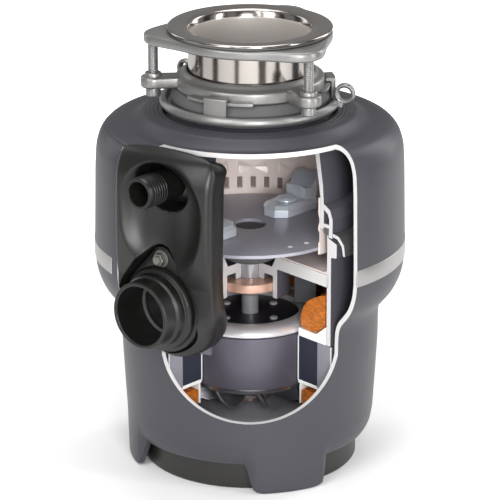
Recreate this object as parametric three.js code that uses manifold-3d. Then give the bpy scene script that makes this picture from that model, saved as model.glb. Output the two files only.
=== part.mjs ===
// Kitchen garbage disposal, built as a sectioned display model: the front of the sound shell, grind
// chamber and motor is cut away between two vertical planes, and the turning parts are left whole.
// Units are millimetres. +Z is up and is the motor's axis; the origin is on that axis, at the floor.
// An azimuth is measured about +Z from -Y (the front), and grows towards +X.
import * as THREE from "three";
import { mergeVertices } from "three/addons/utils/BufferGeometryUtils.js";
import Module from "manifold-3d";

const wasm = await Module();
wasm.setup();

// ---------------------------------------------------------------- driving dimensions
const GAP = 0.3; // air left between pieces that touch
const ROUND = 24; // sides of a turned piece
const SHELL_ROUND = 32; // sides of the sound shell
const FINE = 12; // sides of a small turned piece
const FAR = 260; // longer than anything here, for cutting tools

const CUT_AZ = 42; // half angle of the display cut
const COVER_SIDE_AZ = -19; // where the cut stops behind the outlet cover
const PORT_AZ = -39; // outlet and dishwasher inlet point this way

const TOP_Z = 314; // top face of the sink flange
const RIM_R = 57.15; // a 4 1/2 inch sink flange
const SLEEVE_R = 42.8;
const SLEEVE_WALL = 1.5;
const SLEEVE_END_Z = 272;
const SNAP_Z = 275.3;

const SCREW_CIRCLE_R = 67;
const SCREW_AZ = [-84, 36, 156];
const SCREW_R = 3.7;
const BACKUP_Z = [303.5, 310.2];
const ARM_Z = [271.6, 279.6];
const HOOK_AZ = [-24, 96, 216]; // the locking ring's hooks, and the ramps that they grip
const RAMP_HALF_AZ = 26;
const LOOP_AZ = [78, -137];

const SHELL_R = 108.7;
const SHELL_WALL = 5;
const TRIM_Z = [150.5, 163];
const SPLIT_Z = 156.7;
const WINDOW_TOP_R = 86;
const WINDOW_BOTTOM_Z = 53.8;
const WINDOW_ARC = { az: 43, height: 55 };

const CHAMBER_R = 71.8; // inside of the hopper at the grind ring
const CHAMBER_WALL = 3.5;
const GRIND_RING_R = [69.8, 71.5];
const GRIND_RING_Z = [165, 205.7];
const GRIND_WINDOW = { pitchAz: 8, width: 3.4, z: [173.4, 182] }; // slots cut in the grind ring
const TURNTABLE_R = 69;
const TURNTABLE_Z = [167, 169.5];
const FLOOR_Z = [143, 152];
const HOUSING_R = [78.9, 82.8];
const BOSS_R = [23.9, 28.3];
const CLAMP_END_AZ = -82; // the clamp band stops short of the outlet cover

const SHAFT_R = 6;
const JOURNAL_R = 8.8;
const BEARING_Z = [125.4, 131.9];
const STACK_Z = [66.5, 100]; // stator laminations
const STATOR_R = [50, 70, 82.3];
const ROTOR_R = 49;
const ROTOR_Z = [63, 101];
const BOLT_AZ = [65, 140, 220, 295];
const BOLT_R = 80;
const WINDING_TOP_Z = 136.6;
const FAN_BLADES = 9;

const LUG_PIVOT_R = 37.6;
const LUG_AZ = [137, -43];
const LUG_BASE_Z = [169.9, 178];
const LUG_TOP_Z = 194;
const RIVET_R = 4.5;

const OUTLET_Z = 134.5;
const INLET_Z = 221.3;
const PORT_END = 119; // how far out both hose ends reach
const DUCT_FACE = 90;
const FLANGE_FACE = 92.3;

const COVER_AZ = -35;
const COVER_HALF_WIDTH = 43;
const COVER_FOOT_Z = 141.4; // centre of the cover's round foot
const COVER_WALL = 3;
const COVER_PROUD = 3.8;
const COVER_FRONT = 101; // flat front of the cover round the outlet
const HOOD_BACK = 86; // the hood starts this far out

const BASE_R = 75.5;
const FOOT_AZ = [19, 139, 209, 277];
const FOOT_HALF_AZ = 21;
const BUTTON = { r: 52, az: 150 };
const CABLE = { r: 52, az: 230 };
const HATCH = { r: 50, az: 190, screw: 12.2 };

// ---------------------------------------------------------------- solids
const radians = THREE.MathUtils.degToRad;

/** A closed solid of a three.js geometry, turned outside out if it came inside out. */
function solidOf(geometry) {
  const bare = geometry.index ? geometry.toNonIndexed() : geometry.clone();
  bare.deleteAttribute("normal");
  bare.deleteAttribute("uv");
  const merged = mergeVertices(bare, 1e-4);
  const kept = [];
  const index = merged.index.array;
  for (let i = 0; i < index.length; i += 3) {
    const [a, b, c] = [index[i], index[i + 1], index[i + 2]];
    if (a !== b && b !== c && a !== c) kept.push(a, b, c);
  }
  const build = (triVerts) =>
    new wasm.Manifold(new wasm.Mesh({
      numProp: 3,
      vertProperties: new Float32Array(merged.attributes.position.array),
      triVerts: new Uint32Array(triVerts),
    }));
  const made = build(kept);
  if (made.volume() > 0) return made;
  for (let i = 0; i < kept.length; i += 3) {
    [kept[i + 1], kept[i + 2]] = [kept[i + 2], kept[i + 1]];
  }
  return build(kept);
}

/** A three.js geometry of a solid. */
function geometryOf(solid) {
  const mesh = solid.getMesh();
  const position = new Float32Array(mesh.numVert * 3);
  for (let i = 0; i < mesh.numVert; i++) {
    position.set(mesh.vertProperties.subarray(i * mesh.numProp, i * mesh.numProp + 3), i * 3);
  }
  const geometry = new THREE.BufferGeometry();
  geometry.setAttribute("position", new THREE.BufferAttribute(position, 3));
  geometry.setIndex(new THREE.BufferAttribute(mesh.triVerts, 1));
  geometry.computeVertexNormals();
  return geometry;
}

/** Turns a closed outline of [radius, z] points about +Z. */
function turned(outline, sides = ROUND) {
  const points = [...outline, outline[0]].map(([r, z]) => new THREE.Vector2(r, z));
  return solidOf(new THREE.LatheGeometry(points, sides).rotateX(Math.PI / 2));
}

/** A plain ring or disc about +Z. */
function ring(outer, inner, low, high, sides = ROUND) {
  return turned([[inner, low], [outer, low], [outer, high], [inner, high]], sides);
}

/** A flat outline of [x, y] points, extruded from low to high along +Z. */
function slab(outline, low, high) {
  const shape = new THREE.Shape(outline.map(([x, y]) => new THREE.Vector2(x, y)));
  const options = { depth: high - low, bevelEnabled: false, curveSegments: FINE };
  return new THREE.ExtrudeGeometry(shape, options).translate(0, 0, low);
}

/** Points of an arc of radius r about (x, y), from one angle to another in degrees. */
function arc(x, y, r, from, to, steps) {
  return Array.from({ length: steps + 1 }, (_, i) => {
    const a = radians(from + ((to - from) * i) / steps);
    return [x + r * Math.cos(a), y + r * Math.sin(a)];
  });
}

/** A closed circle as an outline, with no doubled point. */
const circle = (x, y, r, sides = FINE) => arc(x, y, r, 0, 360, sides).slice(0, -1);

/** The point at a radius and an azimuth. */
const at = (r, az) => [r * Math.sin(radians(az)), -r * Math.cos(radians(az))];

/** Places local X (sideways), Y (up) and Z (outwards) on the azimuth az, at the height z. */
function facing(az, z = 0) {
  const a = radians(az);
  const side = new THREE.Vector3(Math.cos(a), Math.sin(a), 0);
  const up = new THREE.Vector3(0, 0, 1);
  const out = new THREE.Vector3(Math.sin(a), -Math.cos(a), 0);
  return new THREE.Matrix4().makeBasis(side, up, out).setPosition(0, 0, z);
}

/** A flat outline facing out on an azimuth, extruded between two distances from the axis. */
const outward = (outline, near, far, az, z = 0) =>
  solidOf(slab(outline, near, far).applyMatrix4(facing(az, z)));

/** A flat outline of [distance out, z] points, extruded both ways along the side of an azimuth. */
function sideways(outline, half, az) {
  const a = radians(az);
  const out = new THREE.Vector3(Math.sin(a), -Math.cos(a), 0);
  const up = new THREE.Vector3(0, 0, 1);
  const side = new THREE.Vector3().crossVectors(out, up);
  return solidOf(slab(outline, -half, half).applyMatrix4(new THREE.Matrix4().makeBasis(out, up, side)));
}

/** A turned piece whose axis points out on an azimuth; its outline is [radius, distance out]. */
function spout(outline, az, z, sides = FINE) {
  const points = [...outline, outline[0]].map(([r, d]) => new THREE.Vector2(r, d));
  const lathe = new THREE.LatheGeometry(points, sides).rotateX(Math.PI / 2);
  return solidOf(lathe.applyMatrix4(facing(az, z)));
}

/** An upright block, turned to an azimuth: across, along the radius, and its heights. */
function block(width, near, far, low, high, az) {
  const w = width / 2;
  return outward([[-w, low], [w, low], [w, high], [-w, high]], near, far, az);
}

/** An upright pin or hole at a radius and an azimuth. */
function post(r, az, radius, low, high, sides = FINE) {
  const [x, y] = at(r, az);
  return solidOf(slab(circle(x, y, radius, sides), low, high));
}

/** The wedge that the display cut takes away, between two azimuths. */
function wedge(from, to, low = -5) {
  const steps = 6;
  const rim = Array.from({ length: steps + 1 }, (_, i) => at(FAR, from + ((to - from) * i) / steps));
  return solidOf(slab([[0, 0], ...rim], low, TOP_Z + 20));
}

const frontCut = wedge(-CUT_AZ, CUT_AZ);
const sideCut = wedge(COVER_SIDE_AZ, CUT_AZ);
const joined = (first, ...rest) => rest.reduce((sum, piece) => sum.add(piece), first);
const cutBy = (first, ...tools) => tools.reduce((left, tool) => left.subtract(tool), first);

// ---------------------------------------------------------------- sink mount
function sinkFlange() {
  const inner = SLEEVE_R - SLEEVE_WALL;
  const groove = 0.7;
  return turned([
    [inner, SLEEVE_END_Z], [SLEEVE_R, SLEEVE_END_Z], [SLEEVE_R, SNAP_Z - 0.2],
    [SLEEVE_R - groove, SNAP_Z - 0.2], [SLEEVE_R - groove, SNAP_Z + 2.1], [SLEEVE_R, SNAP_Z + 2.1],
    [SLEEVE_R, 309], [44.4, 312], [RIM_R, 312], [RIM_R, 313.3], [RIM_R - 1, TOP_Z], [44.8, TOP_Z],
    [inner, 308],
  ]);
}

const fiberGasket = () => ring(56.4, 45.4, BACKUP_Z[1] + GAP, 311.7);

/** Three-lobed plate: a ring that swells into an ear over each screw. */
function backupFlange() {
  const steps = 60;
  const radiusAt = (az) => {
    const off = Math.min(...SCREW_AZ.map((s) => Math.abs(((az - s + 540) % 360) - 180)));
    return 57 + 16.3 * Math.exp(-((off / 19) ** 2));
  };
  const azimuths = Array.from({ length: steps }, (_, i) => (360 * i) / steps);
  const outline = azimuths.map((az) => at(radiusAt(az), az));
  const plate = solidOf(slab(outline, ...BACKUP_Z));
  return plate.subtract(ring(SLEEVE_R + 1.4, 0, BACKUP_Z[0] - 2, BACKUP_Z[1] + 2));
}

/** Ring below the sink, with an arm to each screw and three ramps for the locking ring's hooks. */
function mountingRing() {
  const body = turned([
    [43.6, 277.6], [48, 277.6], [48.6, 270.8], [51.6, 270.8], [51.6, 278.6], [46, 280.8], [45.4, 283],
    [43.6, 283],
  ]);
  const arms = SCREW_AZ.map((az) => {
    const outline = [[-7, 50], [7, 50], ...arc(0, SCREW_CIRCLE_R, 8.8, -20, 200, 10)];
    const turnedOutline = outline.map(([x, y]) => {
      const [sx, sy] = [Math.cos(radians(az)), Math.sin(radians(az))];
      return [x * sx + y * sy, x * sy - y * sx];
    });
    const arm = solidOf(slab(turnedOutline, ...ARM_Z));
    return joined(arm, post(SCREW_CIRCLE_R, az, 5.6, ARM_Z[1] - 1, ARM_Z[1] + 2.6, 16));
  });
  const ramps = HOOK_AZ.map((az) =>
    ring(55.6, 51, 270.8, 273.2).intersect(wedge(az - RAMP_HALF_AZ, az + RAMP_HALF_AZ)));
  const holes = SCREW_AZ.map((az) => post(SCREW_CIRCLE_R, az, SCREW_R + GAP, 260, 300, 16));
  return cutBy(joined(body, ...arms, ...ramps), ...holes);
}

function mountingScrew(az) {
  const shank = post(SCREW_CIRCLE_R, az, SCREW_R, 268, BACKUP_Z[0] - GAP, 16);
  const head = post(SCREW_CIRCLE_R, az, 5.2, 265, ARM_Z[0] - GAP, 16);
  const slot = block(1.4, SCREW_CIRCLE_R - 8, SCREW_CIRCLE_R + 8, 264, 266.4, az);
  return joined(shank, head).subtract(slot);
}

/** Split wire ring that sits in the sleeve's groove and carries the mounting ring. */
const snapRing = () => ring(45.6, SLEEVE_R - 0.5, SNAP_Z, SNAP_Z + 1.9).subtract(wedge(170, 190));

/** Rolled rim that turns under the mounting ring: three hooks to grip it, and loops for a bar. */
function lockRing() {
  const rim = turned([
    [48.5, 257], [60.2, 257], [62.4, 258.8], [62.9, 261.2], [61.4, 264.4], [58.6, 264.4],
    [57.4, 259.4], [48.5, 259.2],
  ]);
  const hooks = HOOK_AZ.map((az) => {
    const wall = ring(59.2, 56.4, 258.5, 276.2).intersect(wedge(az - 8, az + 8));
    const lip = ring(58, 52.4, 274, 276.2).intersect(wedge(az - 8, az + 8));
    return joined(wall, lip);
  });
  const loops = LOOP_AZ.map((az) => {
    const eye = outward(circle(0, 0, 7.4, 16), 60.6, 66.8, az, 268.6);
    const hole = outward(circle(0, 0, 4, 16), 55, 75, az, 268.6);
    const foot = block(9, 60.2, 64.6, 259.5, 264, az);
    return joined(eye, foot).subtract(hole);
  });
  return joined(rim, ...hooks, ...loops);
}

const cushionMount = () => turned([
  [43.4, 262.4], [54.8, 261.9], [55.4, 264.6], [51.4, 270.4], [44.6, 270.4], [43, 267],
]);

/** Rubber diaphragm in the throat, slit into eight flaps round a centre hole. */
function splashBaffle() {
  const disc = turned([[13, 258.2], [28, 259.6], [42.6, 264.2], [42.6, 266.8], [13, 260.2]]);
  const slits = [0, 45, 90, 135].map((az) => block(0.9, -36, 36, 250, 272, az));
  return cutBy(disc, ...slits);
}

// ---------------------------------------------------------------- grind chamber
/** Upper container: neck, funnel and chamber wall, with a hollow skirt over the joint. */
function hopper() {
  const outer = CHAMBER_R + CHAMBER_WALL;
  const wall = turned([
    [CHAMBER_R, 184.5], [outer, 184.5], [outer, 186], [80.4, 186], [80.4, 179.5], [84, 179.5],
    [84, 193], [81.4, 199.4], [75.4, 202.4], [74.2, 215], [70, 239], [62, 247.4], [47.4, 253.6],
    [47.4, 259.5], [54.2, 259.5], [54.2, 261.6], [44, 261.6], [44, 252], [60, 244.4], [66.2, 237],
    [70.4, 215], [CHAMBER_R, 206],
  ]);
  const pocket = turned([[outer, 188.6], [80.6, 188.6], [80.6, 192.6], [79, 196.2], [outer + 0.4, 199]]);
  const port = spout([[8.6, 60], [8.6, 90], [0, 90], [0, 60]], PORT_AZ, INLET_Z);
  return cutBy(wall, pocket, sideCut, port);
}

const dishwasherInlet = () => spout([
  [8.6, 78], [8.6, PORT_END - 0.3], [11.2, PORT_END - 0.3], [11.2, 100], [10.6, 99], [10.6, 82],
  [14.5, 80.5], [14.5, 78],
], PORT_AZ, INLET_Z);

/** Stationary shredder ring: a thin stainless band with a row of slots. */
function grindRing() {
  const [inner, outer] = GRIND_RING_R;
  const band = ring(outer, inner, ...GRIND_RING_Z);
  const { pitchAz, width, z } = GRIND_WINDOW;
  const slots = [];
  for (let az = CUT_AZ + pitchAz; az < 360 + COVER_SIDE_AZ - pitchAz / 2; az += pitchAz) {
    slots.push(block(width, inner - 3, outer + 3, ...z, az));
  }
  return cutBy(band, sideCut, ...slots);
}

const containerSeal = () => ring(80.1, 75.7, 181.4, 185.7).subtract(sideCut);

const clampBand = () => turned([
  [84.4, 180.8], [88.8, 180.4], [93.2, 176], [94.6, 169.6], [96.6, 169.6], [95.4, 177.4],
  [90.2, 182.6], [84.4, 183.4],
]).subtract(wedge(CLAMP_END_AZ, CUT_AZ));

/** Lower container: drain floor, bearing boss, outer wall, and the duct down to the outlet. */
function drainHousing() {
  const [bossIn, bossOut] = BOSS_R;
  const [wallIn, wallOut] = HOUSING_R;
  const guideR = JOURNAL_R + 0.4;
  const floor = turned([
    [guideR, BEARING_Z[1] + GAP], [14.9, BEARING_Z[1] + GAP], [14.9, 137], [bossIn, 137],
    [bossIn, 121], [bossOut, 121], [bossOut, FLOOR_Z[0]], [wallIn + 1, FLOOR_Z[0]],
    [wallIn + 1, FLOOR_Z[1]], [bossOut - 1, FLOOR_Z[1]], [23, 143.5], [guideR, 143.5],
  ]).subtract(frontCut);
  const wall = turned([
    [wallIn, 100.6], [wallOut, 100.6], [wallOut, 165.6], [88.2, 166.4], [88.2, 176.4], [80, 179],
    [80, 181], [wallIn, 181],
  ]).subtract(sideCut);
  const duct = joined(
    outward([...arc(0, 0, 25, 180, 360, 8), [25, 40], [-25, 40]], 80, DUCT_FACE, PORT_AZ, OUTLET_Z),
    outward(circle(0, 35, 8), 82, DUCT_FACE, PORT_AZ, OUTLET_Z),
  );
  const bore = joined(
    outward([...arc(0, 0, 20.5, 180, 360, 8), [20.5, 33], [-20.5, 33]], 83.4, 87, PORT_AZ, OUTLET_Z),
    block(34, 70, 86, 155, 165, PORT_AZ),
    outward(circle(0, 0, 18.5), 84, 99, PORT_AZ, OUTLET_Z),
  );
  const keepIn = ring(wallIn, 0, 90, 190);
  const bolt = outward(circle(0, 35, 3.2), 83.5, 99, PORT_AZ, OUTLET_Z);
  const studs = BOLT_AZ.map((az) => post(BOLT_R, az, 2, 90, 113));
  return cutBy(joined(floor, wall, duct.subtract(keepIn)), bore, bolt, ...studs);
}

const floorLiner = () => turned([
  [30, FLOOR_Z[1] + GAP], [78.5, FLOOR_Z[1] + GAP], [78.5, 154.6], [77.5, 154.6],
  [77.5, 153.4], [30, 153.4],
]).subtract(frontCut);

const shaftSeal = () => turned([
  [JOURNAL_R + 0.5, 144], [14, 144], [21.4, 147.6], [22.6, 152.6], [20.6, 152.6], [18.4, 149],
  [12.4, 147.4], [JOURNAL_R + 0.5, 152.6],
], FINE);

const upperBearing = () => ring(23.6, JOURNAL_R + 0.3, ...BEARING_Z);

/** The switch that drops out the start winding, with two spade terminals. */
function startSwitch() {
  const body = block(24, 34, 50, 118, 142.7, 78);
  const spades = [-6, 6].map((x) => outward([[x - 3, 110], [x + 3, 110], [x + 3, 119], [x - 3, 119]],
    41, 43, 78));
  return joined(body, ...spades);
}

// ---------------------------------------------------------------- turning parts
/** Grinding plate with the hub hole, rivet holes and two drain holes. */
function turntable() {
  const plate = ring(TURNTABLE_R, 11.4, ...TURNTABLE_Z);
  const rivets = LUG_AZ.map((az) => post(LUG_PIVOT_R, az, RIVET_R, 160, 175));
  const drains = [29, 43, 209, 223].map((az) => post(57, az, 1.7, 160, 175, 10));
  return cutBy(plate, ...rivets, ...drains);
}

const turntableHub = () => turned([
  [JOURNAL_R + GAP, 154], [11.4, 154], [12.4, 160], [18.4, 163.4], [19.4, TURNTABLE_Z[0] - GAP],
  [JOURNAL_R + GAP, TURNTABLE_Z[0] - 2],
], FINE);

const rotorShaft = () => turned([
  [0, 27], [SHAFT_R, 27], [SHAFT_R, 118], [JOURNAL_R, 120], [JOURNAL_R, 158], [SHAFT_R, 158.4],
  [SHAFT_R, 165.4], [0, 165.4],
], FINE);

/** Hexagon socket under the shaft, for freeing a jam by hand. */
function wrenchSocket() {
  const hexagon = arc(0, 0, 3.7, 0, 360, 6).slice(0, -1);
  return ring(8.6, 0, 12, 26.6, FINE).subtract(solidOf(slab(hexagon, 10, 24)))
    .add(ring(8.6, 0, 24, 26.6, FINE));
}

const rotorCore = () => ring(ROTOR_R, SHAFT_R + 0.1, ...ROTOR_Z);

const rotorEndRing = () => turned([
  [35.2, 101.3], [48.8, 101.3], [48, 106], [44, 107.8], [35.2, 108],
]);

/** Dark end plate inside the ring, with four balance pins. */
function rotorEndPlate() {
  const plate = ring(34.8, SHAFT_R + GAP, 101.4, 104.4);
  const pins = [47.5, 132.5, -47.5, -132.5].map((az) => post(22.6, az, 2.8, 104, 106));
  return joined(plate, ...pins);
}

/** Lower end ring, with fan blades cast in one with it. */
function rotorFan() {
  const bore = SHAFT_R + 0.4;
  const hub = turned([[bore, 44], [11, 44], [20, 56], [46, 58.6], [46, 62.7], [bore, 62.7]]);
  const blades = Array.from({ length: FAN_BLADES }, (_, i) => {
    const outline = [[8, -3], [30, -8], [44, -4], [45, 5], [14, 5]];
    const blade = slab(outline, -1.6, 1.6).rotateX(Math.PI / 2).rotateX(radians(24)).translate(0, 0, 55);
    return solidOf(blade.rotateZ(radians((360 / FAN_BLADES) * i))).intersect(ring(46, 7, 40, 62));
  });
  return joined(hub, ...blades);
}

function lugRivet(az) {
  const shank = post(LUG_PIVOT_R, az, RIVET_R - 0.1, TURNTABLE_Z[0] - 2, 179);
  const [x, y] = at(LUG_PIVOT_R, az);
  const dome = turned([[0, 178.4], [7.6, 178.4], [7.6, 179.4], [5, 181.2], [0, 181.6]], FINE);
  const foot = post(LUG_PIVOT_R, az, 6.4, TURNTABLE_Z[0] - 2.4, TURNTABLE_Z[0] - GAP);
  return joined(shank, dome.translate([x, y, 0]), foot);
}

/** Swivelling hammer: a plate with sloped sides, and a tall striking head at its outer end. */
function lug(az) {
  const plan = [
    [-17, -5], [-11, -12], [20, -12], [27.4, -8], [29.6, 0], [27.4, 8], [20, 12], [-11, 12], [-17, 5],
  ];
  const [low, high] = LUG_BASE_Z;
  const chamfer = 2.4;
  const base = new THREE.ExtrudeGeometry(
    new THREE.Shape(plan.map(([x, y]) => new THREE.Vector2(x * 0.93, y * 0.84))),
    { depth: high - low - 3, bevelThickness: 3, bevelSize: chamfer, bevelSegments: 1, bevelOffset: -0.6 },
  ).translate(0, 0, low);
  const trimmed = solidOf(base).subtract(solidOf(slab(circle(0, 0, 60, 8), low - 5, low)));
  const head = [[10, -9], [20, -10.5], [26, -7.6], [28.8, 0], [26, 7.6], [20, 10.5], [10, 9], [13.4, 0]];
  const tall = solidOf(slab(head, low + 1, LUG_TOP_Z));
  const slope = solidOf(slab([[0, 186], [15, 186], [24, 196], [24, 204], [0, 204]], -20, 20)
    .rotateX(Math.PI / 2));
  const whole = cutBy(joined(trimmed, tall), slope, solidOf(slab(circle(0, 0, RIVET_R + 0.25), 160, 200)));
  const [x, y] = at(LUG_PIVOT_R, az);
  const place = new THREE.Matrix4().makeRotationZ(radians(az - 90)).setPosition(x, y, 0);
  return solidOf(geometryOf(whole).applyMatrix4(place));
}

// ---------------------------------------------------------------- motor
const studHoles = () => BOLT_AZ.map((az) => post(BOLT_R, az, 2, 20, 113));
const statorCore = () => cutBy(ring(STATOR_R[2], STATOR_R[1], ...STACK_Z), frontCut, ...studHoles());
const statorTeeth = () => ring(STATOR_R[1] - GAP, STATOR_R[0], ...STACK_Z).subtract(frontCut);

const upperWinding = () => turned([
  [53.4, 107], [52.6, 113], [55, 122], [61, 128], [76.6, WINDING_TOP_Z], [77.6, 134], [77.6, 114],
  [68, 106.4],
]).subtract(frontCut);

const lowerWinding = () => turned([
  [54, 61.6], [77.4, 61.6], [77.4, 50], [72, 46], [60, 46], [54, 51],
]).subtract(frontCut);

const upperInsulator = () => turned([
  [50.6, 100.3], [78.2, 100.3], [78.2, 113.2], [77.8, 113.2], [68.4, 105.6], [50.6, 106],
]).subtract(frontCut);

const lowerInsulator = () => ring(77.8, 50.6, 62, STACK_Z[0] - GAP).subtract(frontCut);

const motorCan = () => ring(84.1, STATOR_R[2] + GAP, 66.6, STACK_Z[1] + 0.2).subtract(frontCut);

/** Lower end frame: a dished casting that carries the lower bearing. */
function lowerEndFrame() {
  const dish = turned([
    [12.9, 29], [16, 29], [48, 34], [56, 40.6], [82, 40.6], [82, 66.2], [78.2, 66.2],
    [78.2, 44], [54, 44], [46, 38.4], [16, 41], [12.9, 41],
  ]);
  return cutBy(dish, wedge(-CUT_AZ, CUT_AZ, 46), ...studHoles());
}

const lowerBearing = () => ring(12.6, SHAFT_R + 0.3, 32, 40, FINE);

function throughBolt(az) {
  return joined(post(BOLT_R, az, 1.7, 38, 112), post(BOLT_R, az, 2.7, 36.6, 40.3, 6));
}

// ---------------------------------------------------------------- sound shell
/** The shell's outer outline, from the neck opening down to the lower edge. */
const UPPER_OUTLINE = [
  [61, 255], [73, 254.2], [83, 247], [91.5, 247.8], [98.5, 245.2], [104, 239.4], [106.8, 230.5],
  [107.7, 216], [SHELL_R, TRIM_Z[1]],
];
const LOWER_OUTLINE = [
  [SHELL_R, TRIM_Z[0]], [107.2, 140], [103, 130], [97.6, 123.4], [92.4, 117.6], [90.7, 111], [90.6, 88],
  [89.8, 60], [88.2, 36], [85.4, 28], [81, 21],
];

/** The same outline, moved in by a wall along its own normals. */
function inset(outline, wall) {
  return outline.map(([r, z], i) => {
    const [r0, z0] = outline[Math.max(i - 1, 0)];
    const [r1, z1] = outline[Math.min(i + 1, outline.length - 1)];
    const length = Math.hypot(r1 - r0, z1 - z0);
    return [r + ((z1 - z0) / length) * wall, z - ((r1 - r0) / length) * wall];
  });
}

const shellBand = (outline) => turned([...outline, ...inset(outline, SHELL_WALL).reverse()], SHELL_ROUND);

/** The outline of the outlet cover, seen from outside: square shoulders and a round foot. */
function coverOutline(grow) {
  const w = COVER_HALF_WIDTH + grow;
  const foot = arc(0, COVER_FOOT_Z, w, 180, 360, 10);
  return [...foot, ...arc(w - 12, 238 + grow, 12, 0, 90, 3), ...arc(12 - w, 238 + grow, 12, 90, 180, 3)];
}

/** The hole in the shell behind the cover; near the shoulder it starts where the cover's hood does. */
const coverHole = () => cutBy(
  outward(coverOutline(0.6), 60, 130, COVER_AZ), block(100, 55, HOOD_BACK - 0.3, 200, 260, COVER_AZ),
);

/** The lower edge of the window: half an ellipse drawn on the shell between the two planes. */
function windowTool() {
  const steps = 10;
  const heights = Array.from({ length: steps + 1 }, (_, i) => {
    const az = -CUT_AZ + (2 * CUT_AZ * i) / steps;
    const lift = WINDOW_ARC.height * (1 - Math.sqrt(1 - (az / WINDOW_ARC.az) ** 2));
    return [az, WINDOW_BOTTOM_Z + lift];
  });
  const strips = heights.slice(0, -1).map(([az, z], i) => {
    const [az1, z1] = heights[i + 1];
    const [a, b] = [at(130, az), at(130, az1)];
    const corners = [
      [0, 0, z], [...a, z], [...b, z1], [0, 0, 246], [...a, 246], [...b, 246],
    ].map((p) => new THREE.Vector3(...p));
    corners[0].z = Math.min(z, z1);
    const faces = [0, 2, 1, 3, 4, 5, 0, 1, 4, 0, 4, 3, 1, 2, 5, 1, 5, 4, 2, 0, 3, 2, 3, 5];
    const geometry = new THREE.BufferGeometry().setFromPoints(faces.map((k) => corners[k]));
    return solidOf(geometry);
  });
  return joined(...strips).subtract(ring(WINDOW_TOP_R, 0, 240, 262));
}

const upperShell = () => cutBy(
  shellBand([...UPPER_OUTLINE, [107.2, TRIM_Z[1]], [107.2, SPLIT_Z + GAP]]),
  windowTool(), coverHole(),
);

/** Lower shell with its four feet and the arches between them. */
function lowerShell() {
  const body = shellBand([[107.2, SPLIT_Z], [107.2, TRIM_Z[0]], ...LOWER_OUTLINE]);
  const footBand = turned(
    [[80, 0], [84.6, 0], [86.4, 1.6], [87.4, 20], [87.7, 34], [84.4, 34], [81, 22]], SHELL_ROUND,
  );
  const feet = FOOT_AZ.map((az) => footBand.intersect(wedge(az - FOOT_HALF_AZ, az + FOOT_HALF_AZ)));
  return cutBy(joined(body, ...feet), windowTool(), coverHole());
}

const trimBand = () => cutBy(
  ring(109, 107.5, TRIM_Z[0] + 0.2, TRIM_Z[1] - 0.2, SHELL_ROUND), windowTool(), coverHole(),
);

/** Black cover over both hose ends: a hood with a scooped recess for the dishwasher inlet. */
function outletCover() {
  const proud = (extra) => turned([
    [0, 88], ...LOWER_OUTLINE.slice(0, 7).reverse().map(([r, z]) => [r + extra, z]),
    [SHELL_R + extra, 160], [107.7 + extra, 216], [107 + extra, 229], [105.4 + extra * 0.8, 237],
    [102 + extra * 0.6, 243 + extra * 0.3], [97, 247.4 + extra * 0.6], [0, 247.4 + extra * 0.6],
  ], SHELL_ROUND);
  const outer = outward(coverOutline(0), HOOD_BACK, 130, COVER_AZ).intersect(proud(COVER_PROUD));
  const inner = outward(coverOutline(-COVER_WALL), 60, 130, COVER_AZ)
    .intersect(proud(COVER_PROUD - COVER_WALL));
  const scoop = (grow) => {
    const bowl = new THREE.SphereGeometry(1, 16, 10).scale(36 + grow, 42 + grow, 22 + grow);
    return solidOf(bowl.applyMatrix4(facing(COVER_AZ, 210)).translate(...at(115, COVER_AZ), 0));
  };
  const past = (near) => sideways(
    [[near, 80], [near, 155], [near + 12, 200], [140, 200], [140, 80]], 60, COVER_AZ,
  );
  const inletHole = outward(circle(0, 0, 16.4), 60, 130, PORT_AZ, INLET_Z);
  const flangeHole = outward(flangeOutline(1.2), 60, 130, PORT_AZ, OUTLET_Z);
  const hood = outer.subtract(past(COVER_FRONT)).subtract(inner.subtract(past(COVER_FRONT - COVER_WALL)));
  const bowl = scoop(COVER_WALL).intersect(outer).subtract(past(COVER_FRONT));
  return cutBy(joined(hood, bowl), scoop(0), inletHole, flangeHole);
}

// ---------------------------------------------------------------- outlet
/** Round flange with one ear for its bolt; heights are from the outlet's centre. */
function flangeOutline(grow) {
  return [...arc(0, 0, 32 + grow, 152, 388, 16), ...arc(0, 35, 8.5 + grow, 30, 150, 6)];
}

/** A flange plate with its bore and bolt hole, between two distances out. */
function flangePlate(near, far, bore, shrink = 0) {
  return cutBy(
    outward(flangeOutline(-shrink), near, far, PORT_AZ, OUTLET_Z),
    outward(circle(0, 0, bore), near - 5, far + 5, PORT_AZ, OUTLET_Z),
    outward(circle(0, 35, 3.3), near - 5, far + 5, PORT_AZ, OUTLET_Z),
  );
}

const outletGasket = () => flangePlate(DUCT_FACE + GAP, FLANGE_FACE - GAP, 19, 2);

function outletFlange() {
  const spigot = spout([
    [20.5, FLANGE_FACE], [29.6, FLANGE_FACE], [28.6, 101], [25.4, 102], [25.4, 107], [23.6, 108.4],
    [23.6, PORT_END], [20.5, PORT_END],
  ], PORT_AZ, OUTLET_Z, 20);
  return flangePlate(FLANGE_FACE, FLANGE_FACE + 3.3, 20.5).add(spigot);
}

const outletBolt = () => joined(
  outward(circle(0, 35, 3), 84, 97, PORT_AZ, OUTLET_Z),
  outward(circle(0, 35, 6, 6), FLANGE_FACE + 3.6, FLANGE_FACE + 7.6, PORT_AZ, OUTLET_Z),
);

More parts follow.
